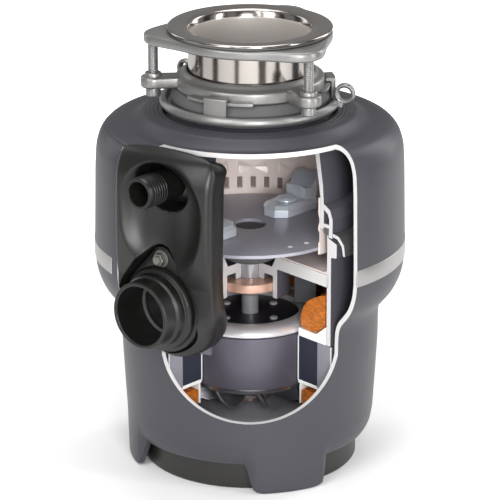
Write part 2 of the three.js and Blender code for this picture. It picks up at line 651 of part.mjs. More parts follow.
// ---------------------------------------------------------------- base
/** Dark cup under the motor: it takes the wiring, the reset button and the hand-wrench hole. */
function baseCup() {
  const cup = turned([
    [12, 0], [BASE_R - 2, 0], [BASE_R, 2], [BASE_R, 20.5], [BASE_R - 3, 20.5], [BASE_R - 3, 4], [12, 4],
  ]);
  const recess = block(41, HATCH.r - 14.5, HATCH.r + 14.5, -1, 2.6, HATCH.az);
  const access = block(33, HATCH.r - 10, HATCH.r + 10, -1, 6, HATCH.az);
  return cutBy(
    cup, recess, access,
    post(BUTTON.r, BUTTON.az, 5.6, -1, 6),
    post(CABLE.r, CABLE.az, 11, -1, 6),
    post(HATCH.r + HATCH.screw, HATCH.az, 1.6, -1, 6),
  );
}

function wiringHatch() {
  const plate = block(40, HATCH.r - 14, HATCH.r + 14, 0.6, 2.3, HATCH.az);
  return plate.subtract(post(HATCH.r + HATCH.screw, HATCH.az, 1.8, -1, 6));
}

const hatchScrew = () => joined(
  post(HATCH.r + HATCH.screw, HATCH.az, 1.4, 0.3, 8),
  post(HATCH.r + HATCH.screw, HATCH.az, 2.2, 0.1, 0.4),
);

function cableBushing() {
  const [x, y] = at(CABLE.r, CABLE.az);
  const outline = [[8, 0.4], [10.6, 0.4], [10.6, 4.4], [12.6, 4.4], [12.6, 6], [8, 6]];
  return turned(outline, FINE).translate([x, y, 0]);
}

const resetButton = () => joined(
  post(BUTTON.r, BUTTON.az, 5, 0.6, 5), post(BUTTON.r, BUTTON.az, 6.8, 4.3, 5.3),
  post(BUTTON.r, BUTTON.az, 2.8, 5, 14),
);

const overloadProtector = () => block(22, BUTTON.r - 9, BUTTON.r + 9, 8.8, 28, BUTTON.az)
  .subtract(post(BUTTON.r, BUTTON.az, 3.2, 5, 20, 16));

// ---------------------------------------------------------------- assembly
const finish = (color, roughness, metalness) =>
  new THREE.MeshStandardMaterial({ color, roughness, metalness });
const FINISH = {
  shell: finish(0x5d5e66, 0.45, 0.35),
  trim: finish(0xd9d7d6, 0.25, 0.8),
  blackPlastic: finish(0x2f2e2c, 0.45, 0),
  basePlastic: finish(0x35342f, 0.5, 0),
  polished: finish(0xd4d0cc, 0.08, 1),
  castMetal: finish(0xa9a7a4, 0.42, 0.9),
  springSteel: finish(0x8d8c8b, 0.3, 1),
  rubber: finish(0x161616, 0.8, 0),
  container: finish(0x55545c, 0.5, 0.1),
  stainless: finish(0xc4b5ac, 0.3, 0.9),
  plate: finish(0x5f5d66, 0.35, 0.8),
  lugSteel: finish(0xb9c2cc, 0.22, 1),
  bronze: finish(0xcf9f86, 0.3, 0.9),
  shaftSteel: finish(0x9b9ba0, 0.22, 1),
  laminations: finish(0x8f8e96, 0.45, 0.7),
  varnish: finish(0x2c2f3a, 0.4, 0.2),
  copper: finish(0xb5651d, 0.4, 0.5),
  insulation: finish(0xf0efec, 0.6, 0),
  rotorSteel: finish(0x6d6a75, 0.35, 0.7),
  rotorAluminium: finish(0xc9c7c8, 0.25, 0.95),
  red: finish(0xb3201c, 0.4, 0),
};

/** Every named piece: its solid and its finish. */
function pieces() {
  const numbered = (name, list, make, look) =>
    list.map((value, i) => [`${name}_${i + 1}`, make(value), look]);
  return [
    ["sink_flange", sinkFlange(), FINISH.polished],
    ["fiber_gasket", fiberGasket(), FINISH.rubber],
    ["backup_flange", backupFlange(), FINISH.castMetal],
    ["mounting_ring", mountingRing(), FINISH.castMetal],
    ...numbered("mounting_screw", SCREW_AZ, mountingScrew, FINISH.springSteel),
    ["snap_ring", snapRing(), FINISH.springSteel],
    ["lock_ring", lockRing(), FINISH.castMetal],
    ["cushion_mount", cushionMount(), FINISH.rubber],
    ["splash_baffle", splashBaffle(), FINISH.rubber],
    ["hopper", hopper(), FINISH.container],
    ["dishwasher_inlet", dishwasherInlet(), FINISH.blackPlastic],
    ["grind_ring", grindRing(), FINISH.stainless],
    ["container_seal", containerSeal(), FINISH.rubber],
    ["clamp_band", clampBand(), FINISH.castMetal],
    ["drain_housing", drainHousing(), FINISH.container],
    ["floor_liner", floorLiner(), FINISH.stainless],
    ["shaft_seal", shaftSeal(), FINISH.rubber],
    ["upper_bearing", upperBearing(), FINISH.bronze],
    ["start_switch", startSwitch(), FINISH.varnish],
    ["turntable", turntable(), FINISH.plate],
    ["turntable_hub", turntableHub(), FINISH.plate],
    ["rotor_shaft", rotorShaft(), FINISH.shaftSteel],
    ["wrench_socket", wrenchSocket(), FINISH.springSteel],
    ["rotor_core", rotorCore(), FINISH.rotorSteel],
    ["rotor_end_ring", rotorEndRing(), FINISH.rotorAluminium],
    ["rotor_end_plate", rotorEndPlate(), FINISH.varnish],
    ["rotor_fan", rotorFan(), FINISH.rotorAluminium],
    ...numbered("lug_rivet", LUG_AZ, lugRivet, FINISH.lugSteel),
    ...numbered("lug", LUG_AZ, lug, FINISH.lugSteel),
    ["stator_core", statorCore(), FINISH.laminations],
    ["stator_teeth", statorTeeth(), FINISH.varnish],
    ["upper_winding", upperWinding(), FINISH.copper],
    ["lower_winding", lowerWinding(), FINISH.copper],
    ["upper_insulator", upperInsulator(), FINISH.insulation],
    ["lower_insulator", lowerInsulator(), FINISH.insulation],
    ["motor_can", motorCan(), FINISH.laminations],
    ["lower_end_frame", lowerEndFrame(), FINISH.castMetal],
    ["lower_bearing", lowerBearing(), FINISH.bronze],
    ...numbered("through_bolt", BOLT_AZ, throughBolt, FINISH.springSteel),
    ["upper_shell", upperShell(), FINISH.shell],
    ["lower_shell", lowerShell(), FINISH.shell],
    ["trim_band", trimBand(), FINISH.trim],
    ["outlet_cover", outletCover(), FINISH.blackPlastic],
    ["outlet_gasket", outletGasket(), FINISH.rubber],
    ["outlet_flange", outletFlange(), FINISH.blackPlastic],
    ["outlet_bolt", outletBolt(), FINISH.springSteel],
    ["base_cup", baseCup(), FINISH.basePlastic],
    ["wiring_hatch", wiringHatch(), FINISH.castMetal],
    ["hatch_screw", hatchScrew(), FINISH.springSteel],
    ["cable_bushing", cableBushing(), FINISH.rubber],
    ["reset_button", resetButton(), FINISH.red],
    ["overload_protector", overloadProtector(), FINISH.varnish],
  ];
}

const disposal = new THREE.Group();
for (const [name, solid, material] of pieces()) {
  const mesh = new THREE.Mesh(geometryOf(solid), material);
  mesh.name = name;
  disposal.add(mesh);
}

export default disposal;
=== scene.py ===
"""Looks of a sectioned kitchen garbage disposal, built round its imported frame.

Everything is in the frame's own place: +Z is the motor's axis and -Y is the cut-away front. Sizes in this
file are millimetres, and meshes are scaled to metres when they are made. An azimuth is measured about +Z
from -Y, and grows towards +X.
"""

from __future__ import annotations

import logging
import math
from dataclasses import dataclass
from enum import Enum

import bmesh
import bpy
import numpy as np
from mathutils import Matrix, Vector


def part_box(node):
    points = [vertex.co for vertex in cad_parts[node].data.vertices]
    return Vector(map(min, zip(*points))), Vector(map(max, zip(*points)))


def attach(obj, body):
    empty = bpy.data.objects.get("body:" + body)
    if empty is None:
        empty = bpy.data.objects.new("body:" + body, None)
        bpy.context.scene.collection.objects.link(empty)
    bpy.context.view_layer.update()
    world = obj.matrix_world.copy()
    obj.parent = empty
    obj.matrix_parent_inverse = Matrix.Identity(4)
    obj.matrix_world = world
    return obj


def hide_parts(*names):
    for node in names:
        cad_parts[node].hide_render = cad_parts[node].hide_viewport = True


LOG = logging.getLogger("disposal")
MM = 0.001

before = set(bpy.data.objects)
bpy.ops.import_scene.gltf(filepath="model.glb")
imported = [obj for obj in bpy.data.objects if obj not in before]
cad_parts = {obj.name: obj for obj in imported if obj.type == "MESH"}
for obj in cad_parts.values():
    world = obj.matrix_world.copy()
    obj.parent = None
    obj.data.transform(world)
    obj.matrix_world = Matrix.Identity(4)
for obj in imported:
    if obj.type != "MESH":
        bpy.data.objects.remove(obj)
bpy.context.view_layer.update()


# ---------------------------------------------------------------- measures of the frame
def back_radius(node: str) -> float:
    """Outer radius of a turned node, read at its back, which the display cut leaves whole."""
    return round(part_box(node)[1][1] / MM, 3)


Span = tuple[float, float]
CUT_AZ = 42.0
COVER_SIDE_AZ = -19.0
PORT_AZ = -39.0
COVER_AZ = -35.0
COVER_WIDTH = 41.5  # half of the outlet cover's
COVER_FOOT_Z = 139.9
SCREW_AZ = (-84.0, 36.0, 156.0)
LUG_AZ = (137.0, -43.0)
OUTLET_Z = 134.5
INLET_Z = 221.3


class Cut(Enum):
    """How much of a turned piece the display cut leaves, as azimuths from and to."""

    WHOLE = None
    FRONT = (CUT_AZ, 360.0 - CUT_AZ)
    SIDE = (CUT_AZ, 360.0 + COVER_SIDE_AZ)


# ---------------------------------------------------------------- surfaces
@dataclass
class Surface:
    """Points in millimetres, faces over them, and the finish number of each face."""

    points: np.ndarray
    faces: list[list[int]]
    tints: list[int]

    def plus(self, *others: "Surface") -> "Surface":
        """This surface and others as one.

        Args:
            others: surfaces to join on, with their own finish numbers kept.

        Returns:
            One surface over all their points.
        """
        made = self
        for other in others:
            shift = len(made.points)
            faces = made.faces + [[i + shift for i in f] for f in other.faces]
            made = Surface(np.vstack([made.points, other.points]), faces, made.tints + other.tints)
        return made

    def moved(self, basis: np.ndarray, origin: tuple[float, float, float] = (0, 0, 0)) -> "Surface":
        """The surface with each point p taken to basis @ p + origin."""
        return Surface(self.points @ np.asarray(basis).T + np.asarray(origin), self.faces, self.tints)

    def lifted(self, x: float = 0, y: float = 0, z: float = 0) -> "Surface":
        """The surface moved along the axes."""
        return self.moved(np.eye(3), (x, y, z))


def at(r: float | np.ndarray, az: float | np.ndarray) -> tuple[np.ndarray, np.ndarray]:
    """x and y of the point at a radius and an azimuth: r sin az, -r cos az."""
    a = np.radians(az)
    return r * np.sin(a), -r * np.cos(a)


def facing(az: float) -> np.ndarray:
    """Basis that lays local x sideways, y up and z outwards on an azimuth.

    Args:
        az: azimuth that local z points along.

    Returns:
        The basis as a 3 by 3 array, with the local axes as columns.
    """
    a = math.radians(az)
    side = (math.cos(a), math.sin(a), 0)
    out = (math.sin(a), -math.cos(a), 0)
    return np.array([side, (0, 0, 1), out]).T


def rounded(outline: list[tuple[float, float]], radius: float = 0.6, steps: int = 3) -> np.ndarray:
    """Softens every corner of a closed outline with a parabola.

    The curve from a to b round the corner p is (1-s)^2 a + 2s(1-s) p + s^2 b, where a and b lie on the two
    edges, at most 0.42 of an edge away from p.

    Args:
        outline: corner points in order.
        radius: how far from the corner the curve starts.
        steps: segments in each corner.

    Returns:
        The points of the softened outline, as rows.
    """
    p = np.asarray(outline, float)
    before, after = np.roll(p, 1, 0) - p, np.roll(p, -1, 0) - p
    len_before = np.linalg.norm(before, axis=1, keepdims=True)
    len_after = np.linalg.norm(after, axis=1, keepdims=True)
    a = p + before / len_before * np.minimum(radius, 0.42 * len_before)
    b = p + after / len_after * np.minimum(radius, 0.42 * len_after)
    s = np.linspace(0, 1, steps + 1)[None, :, None]
    curve = (1 - s) ** 2 * a[:, None] + 2 * s * (1 - s) * p[:, None] + s**2 * b[:, None]
    return curve.reshape(-1, 2)


def grid(points: np.ndarray, wrap_rows: bool = False, wrap_columns: bool = False,
         keep: np.ndarray | None = None, tint: int = 0) -> Surface:
    """Quads over a table of points.

    Args:
        points: rows by columns by xyz.
        wrap_rows: join the last row to the first.
        wrap_columns: join the last column to the first.
        keep: which quads stay, rows by columns; all of them when None.
        tint: finish number of the quads.

    Returns:
        The surface.
    """
    rows, columns = points.shape[:2]
    index = np.arange(rows * columns).reshape(rows, columns)
    down, right = np.roll(index, -1, 0), np.roll(index, -1, 1)
    corner = np.roll(down, -1, 1)
    quads = np.stack([index, right, corner, down], -1)
    quads = quads[: rows if wrap_rows else rows - 1, : columns if wrap_columns else columns - 1]
    if keep is not None:
        quads = quads[keep[: quads.shape[0], : quads.shape[1]]]
    faces = quads.reshape(-1, 4).tolist()
    return Surface(points.reshape(-1, 3), faces, [tint] * len(faces))


def revolve(profile: np.ndarray | list, cut: Cut | Span = Cut.WHOLE, step: float = 3.0, cap_tint: int = 1,
            soften: float = 0.5) -> Surface:
    """Turns a closed profile of (radius, z) about +Z: the point at azimuth a is (r sin a, -r cos a, z).

    Args:
        profile: corners of the closed profile.
        cut: which azimuths are left, as a kind of cut or as from and to.
        step: degrees between columns.
        cap_tint: finish number of the two flat cut faces.
        soften: corner radius of the profile.

    Returns:
        A closed surface.
    """
    outline = rounded(profile, soften) if soften else np.asarray(profile, float)
    whole = cut is Cut.WHOLE
    start, end = (0.0, 360.0) if whole else (cut.value if isinstance(cut, Cut) else cut)
    count = int(round((end - start) / step)) + (0 if whole else 1)
    az = np.linspace(start, end, count, endpoint=not whole)
    x, y = at(outline[:, :1], az[None, :])
    z = np.repeat(outline[:, 1:], count, 1)
    made = grid(np.stack([x, y, z], -1), wrap_rows=True, wrap_columns=whole)
    if not whole:
        first = [i * count for i in range(len(outline))]
        made.faces += [first, [i + count - 1 for i in reversed(first)]]
        made.tints += [cap_tint, cap_tint]
    return made


def disc_edge(radius: float, z0: float, z1: float, inner: float = 0.0) -> list[tuple[float, float]]:
    """Profile of a plain disc or ring."""
    return [(inner, z0), (radius, z0), (radius, z1), (inner, z1)]


def plate(outline: np.ndarray | list, z0: float, z1: float, edge: float = 0.5, tint: int = 0) -> Surface:
    """Extrudes a closed outline along z and rolls both of its edges inwards over a quarter turn.

    Args:
        outline: points in order, as (x, y).
        z0: lower face.
        z1: upper face.
        edge: radius of the rolled edges.
        tint: finish number.

    Returns:
        A closed surface with flat ends.
    """
    p = np.asarray(outline, float)
    along = np.roll(p, -1, 0) - np.roll(p, 1, 0)
    along /= np.linalg.norm(along, axis=1, keepdims=True)
    normal = np.stack([along[:, 1], -along[:, 0]], -1)
    area = np.sum(p[:, 0] * np.roll(p[:, 1], -1) - np.roll(p[:, 0], -1) * p[:, 1])
    normal *= np.sign(area)
    turn = np.radians([90, 60, 30, 0])
    lower = [(edge - edge * math.cos(t), z0 + edge - edge * math.sin(t)) for t in turn]
    upper = [(inset, z0 + z1 - z) for inset, z in reversed(lower)]
    rows = []
    for inset, z in lower + upper:
        ring = p - normal * inset
        rows.append(np.column_stack([ring, np.full(len(p), z)]))
    made = grid(np.array(rows), wrap_columns=True, tint=tint)
    n = len(p)
    made.faces += [list(reversed(range(n))), list(range(n * (len(rows) - 1), n * len(rows)))]
    made.tints += [tint, tint]
    return made


def holed(outline: np.ndarray, hole: float, z0: float, z1: float, edge: float = 0.5) -> Surface:
    """A flat plate with a round hole: rings of points, where the hole's lie on the outline's rays.

    Args:
        outline: points round the origin, as (x, y).
        hole: radius of the hole.
        z0: lower face.
        z1: upper face.
        edge: size of the softened edges.

    Returns:
        A closed surface.
    """
    p = np.asarray(outline, float)
    reach = np.linalg.norm(p, axis=1, keepdims=True)
    ray = p / reach
    rings = [
        (ray * hole, z0), (ray * (reach - edge), z0), (ray * (reach - 0.3 * edge), z0 + 0.3 * edge),
        (ray * reach, z0 + edge), (ray * reach, z1 - edge), (ray * (reach - 0.3 * edge), z1 - 0.3 * edge),
        (ray * (reach - edge), z1), (ray * (hole + edge), z1), (ray * hole, z1 - edge),
    ]
    rows = [np.column_stack([xy, np.full(len(p), z)]) for xy, z in rings]
    return grid(np.array(rows), wrap_rows=True, wrap_columns=True)


def turned_at(profile: list, x: float, y: float, step: float = 12.0, soften: float = 0.35) -> Surface:
    """A small turned piece whose upright axis stands at (x, y)."""
    return revolve(profile, step=step, soften=soften).lifted(x, y)


def spout(profile: list, az: float, z: float, step: float = 5.0, soften: float = 0.4) -> Surface:
    """A turned piece whose axis points out on an azimuth; its profile is (radius, distance out)."""
    return revolve(profile, step=step, soften=soften).moved(facing(az), (0, 0, z))


def outward(outline: np.ndarray | list, near: float, far: float, az: float, z: float,
            edge: float = 0.6) -> Surface:
    """A plate that faces out on an azimuth, between two distances from the axis."""
    return plate(outline, near, far, edge).moved(facing(az), (0, 0, z))


def arc(x: float, y: float, r: float, start: float, end: float, steps: int) -> np.ndarray:
    """Points on an arc: centre plus r (cos a, sin a)."""
    a = np.radians(np.linspace(start, end, steps + 1))
    return np.column_stack([x + r * np.cos(a), y + r * np.sin(a)])


def path(corners: list[tuple[float, float]], radius: float, spacing: float) -> np.ndarray:
    """An open line through corners, softened at each and cut into even steps.

    Args:
        corners: (radius, z) corners, in order.
        radius: how far from a corner its curve starts.
        spacing: length of a step.

    Returns:
        The points of the line, as rows.
    """
    p = np.asarray(corners, float)
    bend = rounded(corners, radius, 6)[7:-7]
    line = np.vstack([p[:1], bend, p[-1:]])
    run = np.concatenate([[0], np.cumsum(np.linalg.norm(np.diff(line, axis=0), axis=1))])
    even = np.linspace(0, run[-1], max(2, int(run[-1] / spacing) + 1))
    return np.column_stack([np.interp(even, run, line[:, i]) for i in (0, 1)])


def normals(line: np.ndarray) -> np.ndarray:
    """Unit normals of a (radius, z) line that runs downwards, pointing out: (-dz, dr) over its length."""
    along = np.gradient(line, axis=0)
    out = np.column_stack([-along[:, 1], along[:, 0]])
    return out / np.linalg.norm(out, axis=1, keepdims=True)


def ease(x: np.ndarray) -> np.ndarray:
    """3x^2 - 2x^3 between 0 and 1, and flat outside."""
    x = np.clip(x, 0, 1)
    return x * x * (3 - 2 * x)


def soft_min(a: np.ndarray, b: np.ndarray, blend: float) -> np.ndarray:
    """The smaller of two values, with the step between them rounded over a blend width."""
    h = np.clip(0.5 + 0.5 * (b - a) / blend, 0, 1)
    return b + (a - b) * h - blend * h * (1 - h)


def walled(outer: np.ndarray, inner: np.ndarray, keep: np.ndarray | None, wrap: bool,
           rim_tint: int, inner_tint: int) -> Surface:
    """A wall between two matching tables of points, closed by a rim along every open edge.

    Args:
        outer: rows by columns by xyz of the outer skin.
        inner: the same for the inner skin.
        keep: which quads stay.
        wrap: join the last column to the first.
        rim_tint: finish number of the rim.
        inner_tint: finish number of the inner skin.

    Returns:
        A closed surface.
    """
    outside = grid(outer, wrap_columns=wrap, keep=keep)
    inside = grid(inner, wrap_columns=wrap, keep=keep, tint=inner_tint)
    quads = np.array(outside.faces)
    edges = np.concatenate([quads[:, [i, (i + 1) % 4]] for i in range(4)])
    _, first, count = np.unique(np.sort(edges, 1), axis=0, return_index=True, return_counts=True)
    rim = edges[first[count == 1]]
    shift = len(outside.points)
    strip = np.column_stack([rim[:, 1], rim[:, 0], rim[:, 0] + shift, rim[:, 1] + shift]).tolist()
    made = outside.plus(inside)
    return Surface(made.points, made.faces + strip, made.tints + [rim_tint] * len(strip))


# ---------------------------------------------------------------- shader groups
def rgb(red: int, green: int, blue: int) -> tuple[float, float, float, float]:
    """A display colour, 0 to 255 a channel, as linear light.

    Args:
        red: 0 to 255.
        green: 0 to 255.
        blue: 0 to 255.

    Returns:
        Red, green, blue and 1, as linear values.
    """
    value = np.array([red, green, blue]) / 255.0
    linear = np.where(value <= 0.04045, value / 12.92, ((value + 0.055) / 1.055) ** 2.4)
    return (*[float(v) for v in linear], 1.0)


class Texture(Enum):
    """Where a surface pattern runs."""

    GRAIN = "even grain"
    TURNED = "rings round the axis"
    BRUSHED_UP = "streaks along the axis"
    STACKED = "thin sheets"
    WOUND = "wire"


# How Object coordinates are stretched for each pattern: radius or x, y, and z.
STRETCH = {
    Texture.GRAIN: (1.0, 1.0, 1.0),
    Texture.TURNED: (1.0, 0.0, 1.0),
    Texture.BRUSHED_UP: (1.0, 1.0, 0.03),
    Texture.STACKED: (0.02, 0.02, 1.0),
    Texture.WOUND: (0.25, 0.25, 1.0),
}


def socket(group: bpy.types.NodeTree, name: str, kind: str, given: bool, value: float | None = None) -> None:
    """Adds a named input or output to a node group.

    Args:
        group: the node group.
        name: the socket's name.
        kind: its type.
        given: whether it is an input.
        value: its default.
    """
    made = group.interface.new_socket(name=name, in_out="INPUT" if given else "OUTPUT", socket_type=kind)
    if value is not None:
        made.default_value = value


class Nodes:
    """Short way to add and join nodes in one tree."""

    def __init__(self, tree: bpy.types.NodeTree) -> None:
        """Keeps the tree."""
        self.tree = tree

    def add(self, kind: str, **settings: object) -> bpy.types.Node:
        """A new node with its properties set."""
        node = self.tree.nodes.new(kind)
        for key, value in settings.items():
            setattr(node, key, value)
        return node

    def join(self, source: bpy.types.NodeSocket, target: bpy.types.NodeSocket) -> None:
        """Links two sockets."""
        self.tree.links.new(source, target)

    def math(self, operation: str, a: bpy.types.NodeSocket | float, b: bpy.types.NodeSocket | float = 0.0,
             ) -> bpy.types.NodeSocket:
        """One sum on two values or sockets.

        Args:
            operation: what the node does.
            a: first value or socket.
            b: second value or socket.

        Returns:
            The node's output socket.
        """
        node = self.add("ShaderNodeMath", operation=operation)
        for slot, value in enumerate((a, b)):
            if isinstance(value, bpy.types.NodeSocket):
                self.join(value, node.inputs[slot])
            else:
                node.inputs[slot].default_value = value
        return node.outputs[0]


def relief_group(texture: Texture) -> bpy.types.NodeTree:
    """Group that turns a stretched noise on Object coordinates into a normal and a mask.

    Args:
        texture: the pattern, which sets how the coordinates are stretched.

    Returns:
        The node group, with inputs Scale and Depth, and outputs Normal and Mask.
    """
    name = f"relief, {texture.value}"
    if name in bpy.data.node_groups:
        return bpy.data.node_groups[name]
    tree = bpy.data.node_groups.new(name, "ShaderNodeTree")
    socket(tree, "Scale", "NodeSocketFloat", True, 900.0)
    socket(tree, "Depth", "NodeSocketFloat", True, 0.1)
    socket(tree, "Normal", "NodeSocketVector", False)
    socket(tree, "Mask", "NodeSocketFloat", False)
    n = Nodes(tree)
    given, out = n.add("NodeGroupInput"), n.add("NodeGroupOutput")
    place = n.add("ShaderNodeTexCoord").outputs["Object"]
    if texture is Texture.TURNED:
        split = n.add("ShaderNodeSeparateXYZ")
        n.join(place, split.inputs[0])
        squares = n.math("ADD", n.math("MULTIPLY", split.outputs[0], split.outputs[0]),
                         n.math("MULTIPLY", split.outputs[1], split.outputs[1]))
        bring = n.add("ShaderNodeCombineXYZ")
        n.join(n.math("SQRT", squares), bring.inputs[0])
        n.join(split.outputs[2], bring.inputs[2])
        place = bring.outputs[0]
    stretch = n.add("ShaderNodeMapping")
    stretch.inputs["Scale"].default_value = STRETCH[texture]
    noise = n.add("ShaderNodeTexNoise")
    noise.inputs["Detail"].default_value = 3.0
    noise.inputs["Roughness"].default_value = 0.55
    bump = n.add("ShaderNodeBump")
    bump.inputs["Distance"].default_value = 0.0004
    n.join(place, stretch.inputs["Vector"])
    n.join(stretch.outputs[0], noise.inputs["Vector"])
    n.join(given.outputs["Scale"], noise.inputs["Scale"])
    n.join(noise.outputs[0], bump.inputs["Height"])
    n.join(given.outputs["Depth"], bump.inputs["Strength"])
    n.join(bump.outputs[0], out.inputs["Normal"])
    n.join(noise.outputs[0], out.inputs["Mask"])
    return tree


def tone_group() -> bpy.types.NodeTree:
    """Group that drifts a colour lighter and darker in soft clouds: colour times (1 + spread (noise - 0.5)).

    Returns:
        The node group, with inputs Color, Spread and Scale, and outputs Color and Drift.
    """
    name = "tone drift"
    if name in bpy.data.node_groups:
        return bpy.data.node_groups[name]
    tree = bpy.data.node_groups.new(name, "ShaderNodeTree")
    socket(tree, "Color", "NodeSocketColor", True)
    socket(tree, "Spread", "NodeSocketFloat", True, 0.1)
    socket(tree, "Scale", "NodeSocketFloat", True, 25.0)
    socket(tree, "Color", "NodeSocketColor", False)
    socket(tree, "Drift", "NodeSocketFloat", False)
    n = Nodes(tree)
    given, out = n.add("NodeGroupInput"), n.add("NodeGroupOutput")
    noise = n.add("ShaderNodeTexNoise")
    noise.inputs["Detail"].default_value = 4.0
    n.join(n.add("ShaderNodeTexCoord").outputs["Object"], noise.inputs["Vector"])
    n.join(given.outputs["Scale"], noise.inputs["Scale"])
    drift = n.math("MULTIPLY", n.math("SUBTRACT", noise.outputs[0], 0.5), given.outputs["Spread"])
    factor = n.math("ADD", drift, 1.0)
    scale = n.add("ShaderNodeVectorMath", operation="SCALE")
    n.join(given.outputs["Color"], scale.inputs[0])
    n.join(factor, scale.inputs["Scale"])
    n.join(scale.outputs[0], out.inputs["Color"])
    n.join(drift, out.inputs["Drift"])
    return tree


# ---------------------------------------------------------------- finishes
@dataclass(frozen=True)
class Finish:
    """One finish of the object: its colour, gloss and surface pattern."""

    name: str
    color: tuple[int, int, int]
    roughness: float
    metallic: float = 0.0
    texture: Texture = Texture.GRAIN
    scale: float = 900.0
    depth: float = 0.1
    spread: float = 0.08
    rough_spread: float = 0.1
    coat: float = 0.0
    drift_scale: float = 25.0
    grain: float = 0.0

    def material(self) -> bpy.types.Material:
        """The finish as a material, made once.

        Returns:
            The material.
        """
        if self.name in bpy.data.materials:
            return bpy.data.materials[self.name]
        made = bpy.data.materials.new(self.name)
        made.use_nodes = True
        n = Nodes(made.node_tree)
        shader = made.node_tree.nodes["Principled BSDF"]
        relief = n.add("ShaderNodeGroup", node_tree=relief_group(self.texture))
        relief.inputs["Scale"].default_value = self.scale
        relief.inputs["Depth"].default_value = self.depth
        tone = n.add("ShaderNodeGroup", node_tree=tone_group())
        tone.inputs["Color"].default_value = rgb(*self.color)
        tone.inputs["Spread"].default_value = self.spread
        tone.inputs["Scale"].default_value = self.drift_scale
        rough = n.math("ADD", n.math("MULTIPLY", n.math("SUBTRACT", relief.outputs["Mask"], 0.5),
                                     self.rough_spread), self.roughness)
        factor = n.math("ADD", n.math("MULTIPLY", n.math("SUBTRACT", relief.outputs["Mask"], 0.5),
                                      self.grain), 1.0)
        shade = n.add("ShaderNodeVectorMath", operation="SCALE")
        n.join(tone.outputs["Color"], shade.inputs[0])
        n.join(factor, shade.inputs["Scale"])
        n.join(shade.outputs[0], shader.inputs["Base Color"])
        n.join(rough, shader.inputs["Roughness"])
        n.join(relief.outputs["Normal"], shader.inputs["Normal"])
        shader.inputs["Metallic"].default_value = self.metallic
        shader.inputs["Coat Weight"].default_value = self.coat
        shader.inputs["Coat Roughness"].default_value = 0.2
        return made


SHELL = Finish("shell paint", (62, 62, 68), 0.42, 0.25, scale=1800, depth=0.12, spread=0.05)
SHELL_INSIDE = Finish("shell inside", (70, 68, 74), 0.5, scale=900, depth=0.05, spread=0.1)
CUT_PAINT = Finish("cut face paint", (205, 203, 203), 0.55, scale=500, depth=0.05, spread=0.03)
COVER = Finish("cover plastic", (20, 19, 18), 0.36, scale=2400, depth=0.1, spread=0.08)
BASE = Finish("base plastic", (32, 31, 29), 0.4, scale=1600, depth=0.15, spread=0.1)
CHROME = Finish("polished steel", (176, 170, 165), 0.15, 1.0, Texture.TURNED, 500, 0.02, 0.03, 0.04)
SLEEVE = Finish("sleeve inside", (196, 190, 185), 0.3, 0.45, Texture.BRUSHED_UP, 60, 0.04, 0.12)
CAST = Finish("satin casting", (146, 145, 144), 0.38, 0.8, scale=900, depth=0.12, spread=0.1)
FRAME = Finish("end frame casting", (150, 150, 155), 0.5, 0.3, scale=700, depth=0.12, spread=0.1)
ZINC = Finish("plated steel", (150, 149, 148), 0.3, 0.8, Texture.TURNED, 1400, 0.1, 0.08)
# The outlet bolt's steel is darker than the plated screws: painted shade, for the shade it sits in.
BOLT_PAINTED_SHADE = Finish("bolt steel, painted shade", (120, 118, 114), 0.35, 0.7, scale=900, depth=0.1)
RUBBER = Finish("rubber", (16, 16, 16), 0.6, scale=1500, depth=0.2, spread=0.15)
CONTAINER = Finish("container wall", (92, 90, 98), 0.45, 0.2, scale=900, depth=0.08, spread=0.1)
GRIND = Finish("grind steel", (236, 222, 216), 0.42, 0.15, Texture.BRUSHED_UP, 700, 0.1, 0.12)
# The shredder ring's deeper slot faces take this darker colour: painted shade in the slots.
SLOT_PAINTED_SHADE = Finish("slot painted shade", (128, 114, 108), 0.5, 0.1)
PLATE = Finish("plate steel", (160, 158, 168), 0.5, 0.2, Texture.TURNED, 1600, 0.1, 0.1)
LUG = Finish("lug steel", (226, 233, 242), 0.25, 0.45, scale=600, depth=0.06, spread=0.06)
BRONZE = Finish("bearing bronze", (222, 180, 160), 0.35, 0.5, Texture.TURNED, 900, 0.12, 0.08)
SHAFT = Finish("ground shaft", (170, 170, 176), 0.3, 0.4, Texture.TURNED, 2200, 0.08, 0.05)
IRON = Finish("stacked sheets", (150, 149, 158), 0.45, 0.3, Texture.STACKED, 1500, 0.25, 0.06)
# Cut faces of the slot block: dark blue-grey, darker than the back iron.
SLOT_FACE_DARK = Finish("dark slot face", (46, 49, 62), 0.35, 0.1, Texture.STACKED, 1500, 0.2, 0.1)
COPPER = Finish("copper wire", (196, 112, 38), 0.38, 0.3, Texture.WOUND, 900, 0.8, 0.4, 0.2, 0.2, 60, 2.2)
INSULATION = Finish("insulation", (240, 240, 238), 0.5, scale=700, depth=0.06, spread=0.04)
ROTOR = Finish("rotor steel", (92, 89, 100), 0.42, 0.4, Texture.TURNED, 1200, 0.1, 0.06)
ALLOY = Finish("bright casting", (214, 212, 214), 0.35, 0.5, scale=500, depth=0.1, spread=0.08)
FAN = Finish("fan casting", (150, 150, 156), 0.25, 0.9, scale=500, depth=0.1)
DARK = Finish("dark moulding", (34, 35, 42), 0.4, 0.05, scale=1200, depth=0.1, spread=0.1)
TRIM = Finish("trim band metal", (164, 161, 160), 0.32, 0.85, Texture.BRUSHED_UP, 60, 0.06, 0.15)
RED = Finish("button red", (178, 34, 28), 0.4, scale=900, depth=0.05)


# ---------------------------------------------------------------- pieces
def smooth(mesh: bpy.types.Mesh, angle: float) -> None:
    """Merges doubles, turns faces out, and marks edges over an angle sharp.

    Args:
        mesh: the mesh to mend.
        angle: degrees between faces past which an edge stays sharp.
    """
    work = bmesh.new()
    work.from_mesh(mesh)
    bmesh.ops.remove_doubles(work, verts=work.verts, dist=2e-6)
    bmesh.ops.dissolve_degenerate(work, dist=1e-6, edges=work.edges)
    bmesh.ops.recalc_face_normals(work, faces=work.faces)
    work.to_mesh(mesh)
    work.free()
    mesh.polygons.foreach_set("use_smooth", np.ones(len(mesh.polygons), bool))
    mesh.set_sharp_from_angle(angle=math.radians(angle))


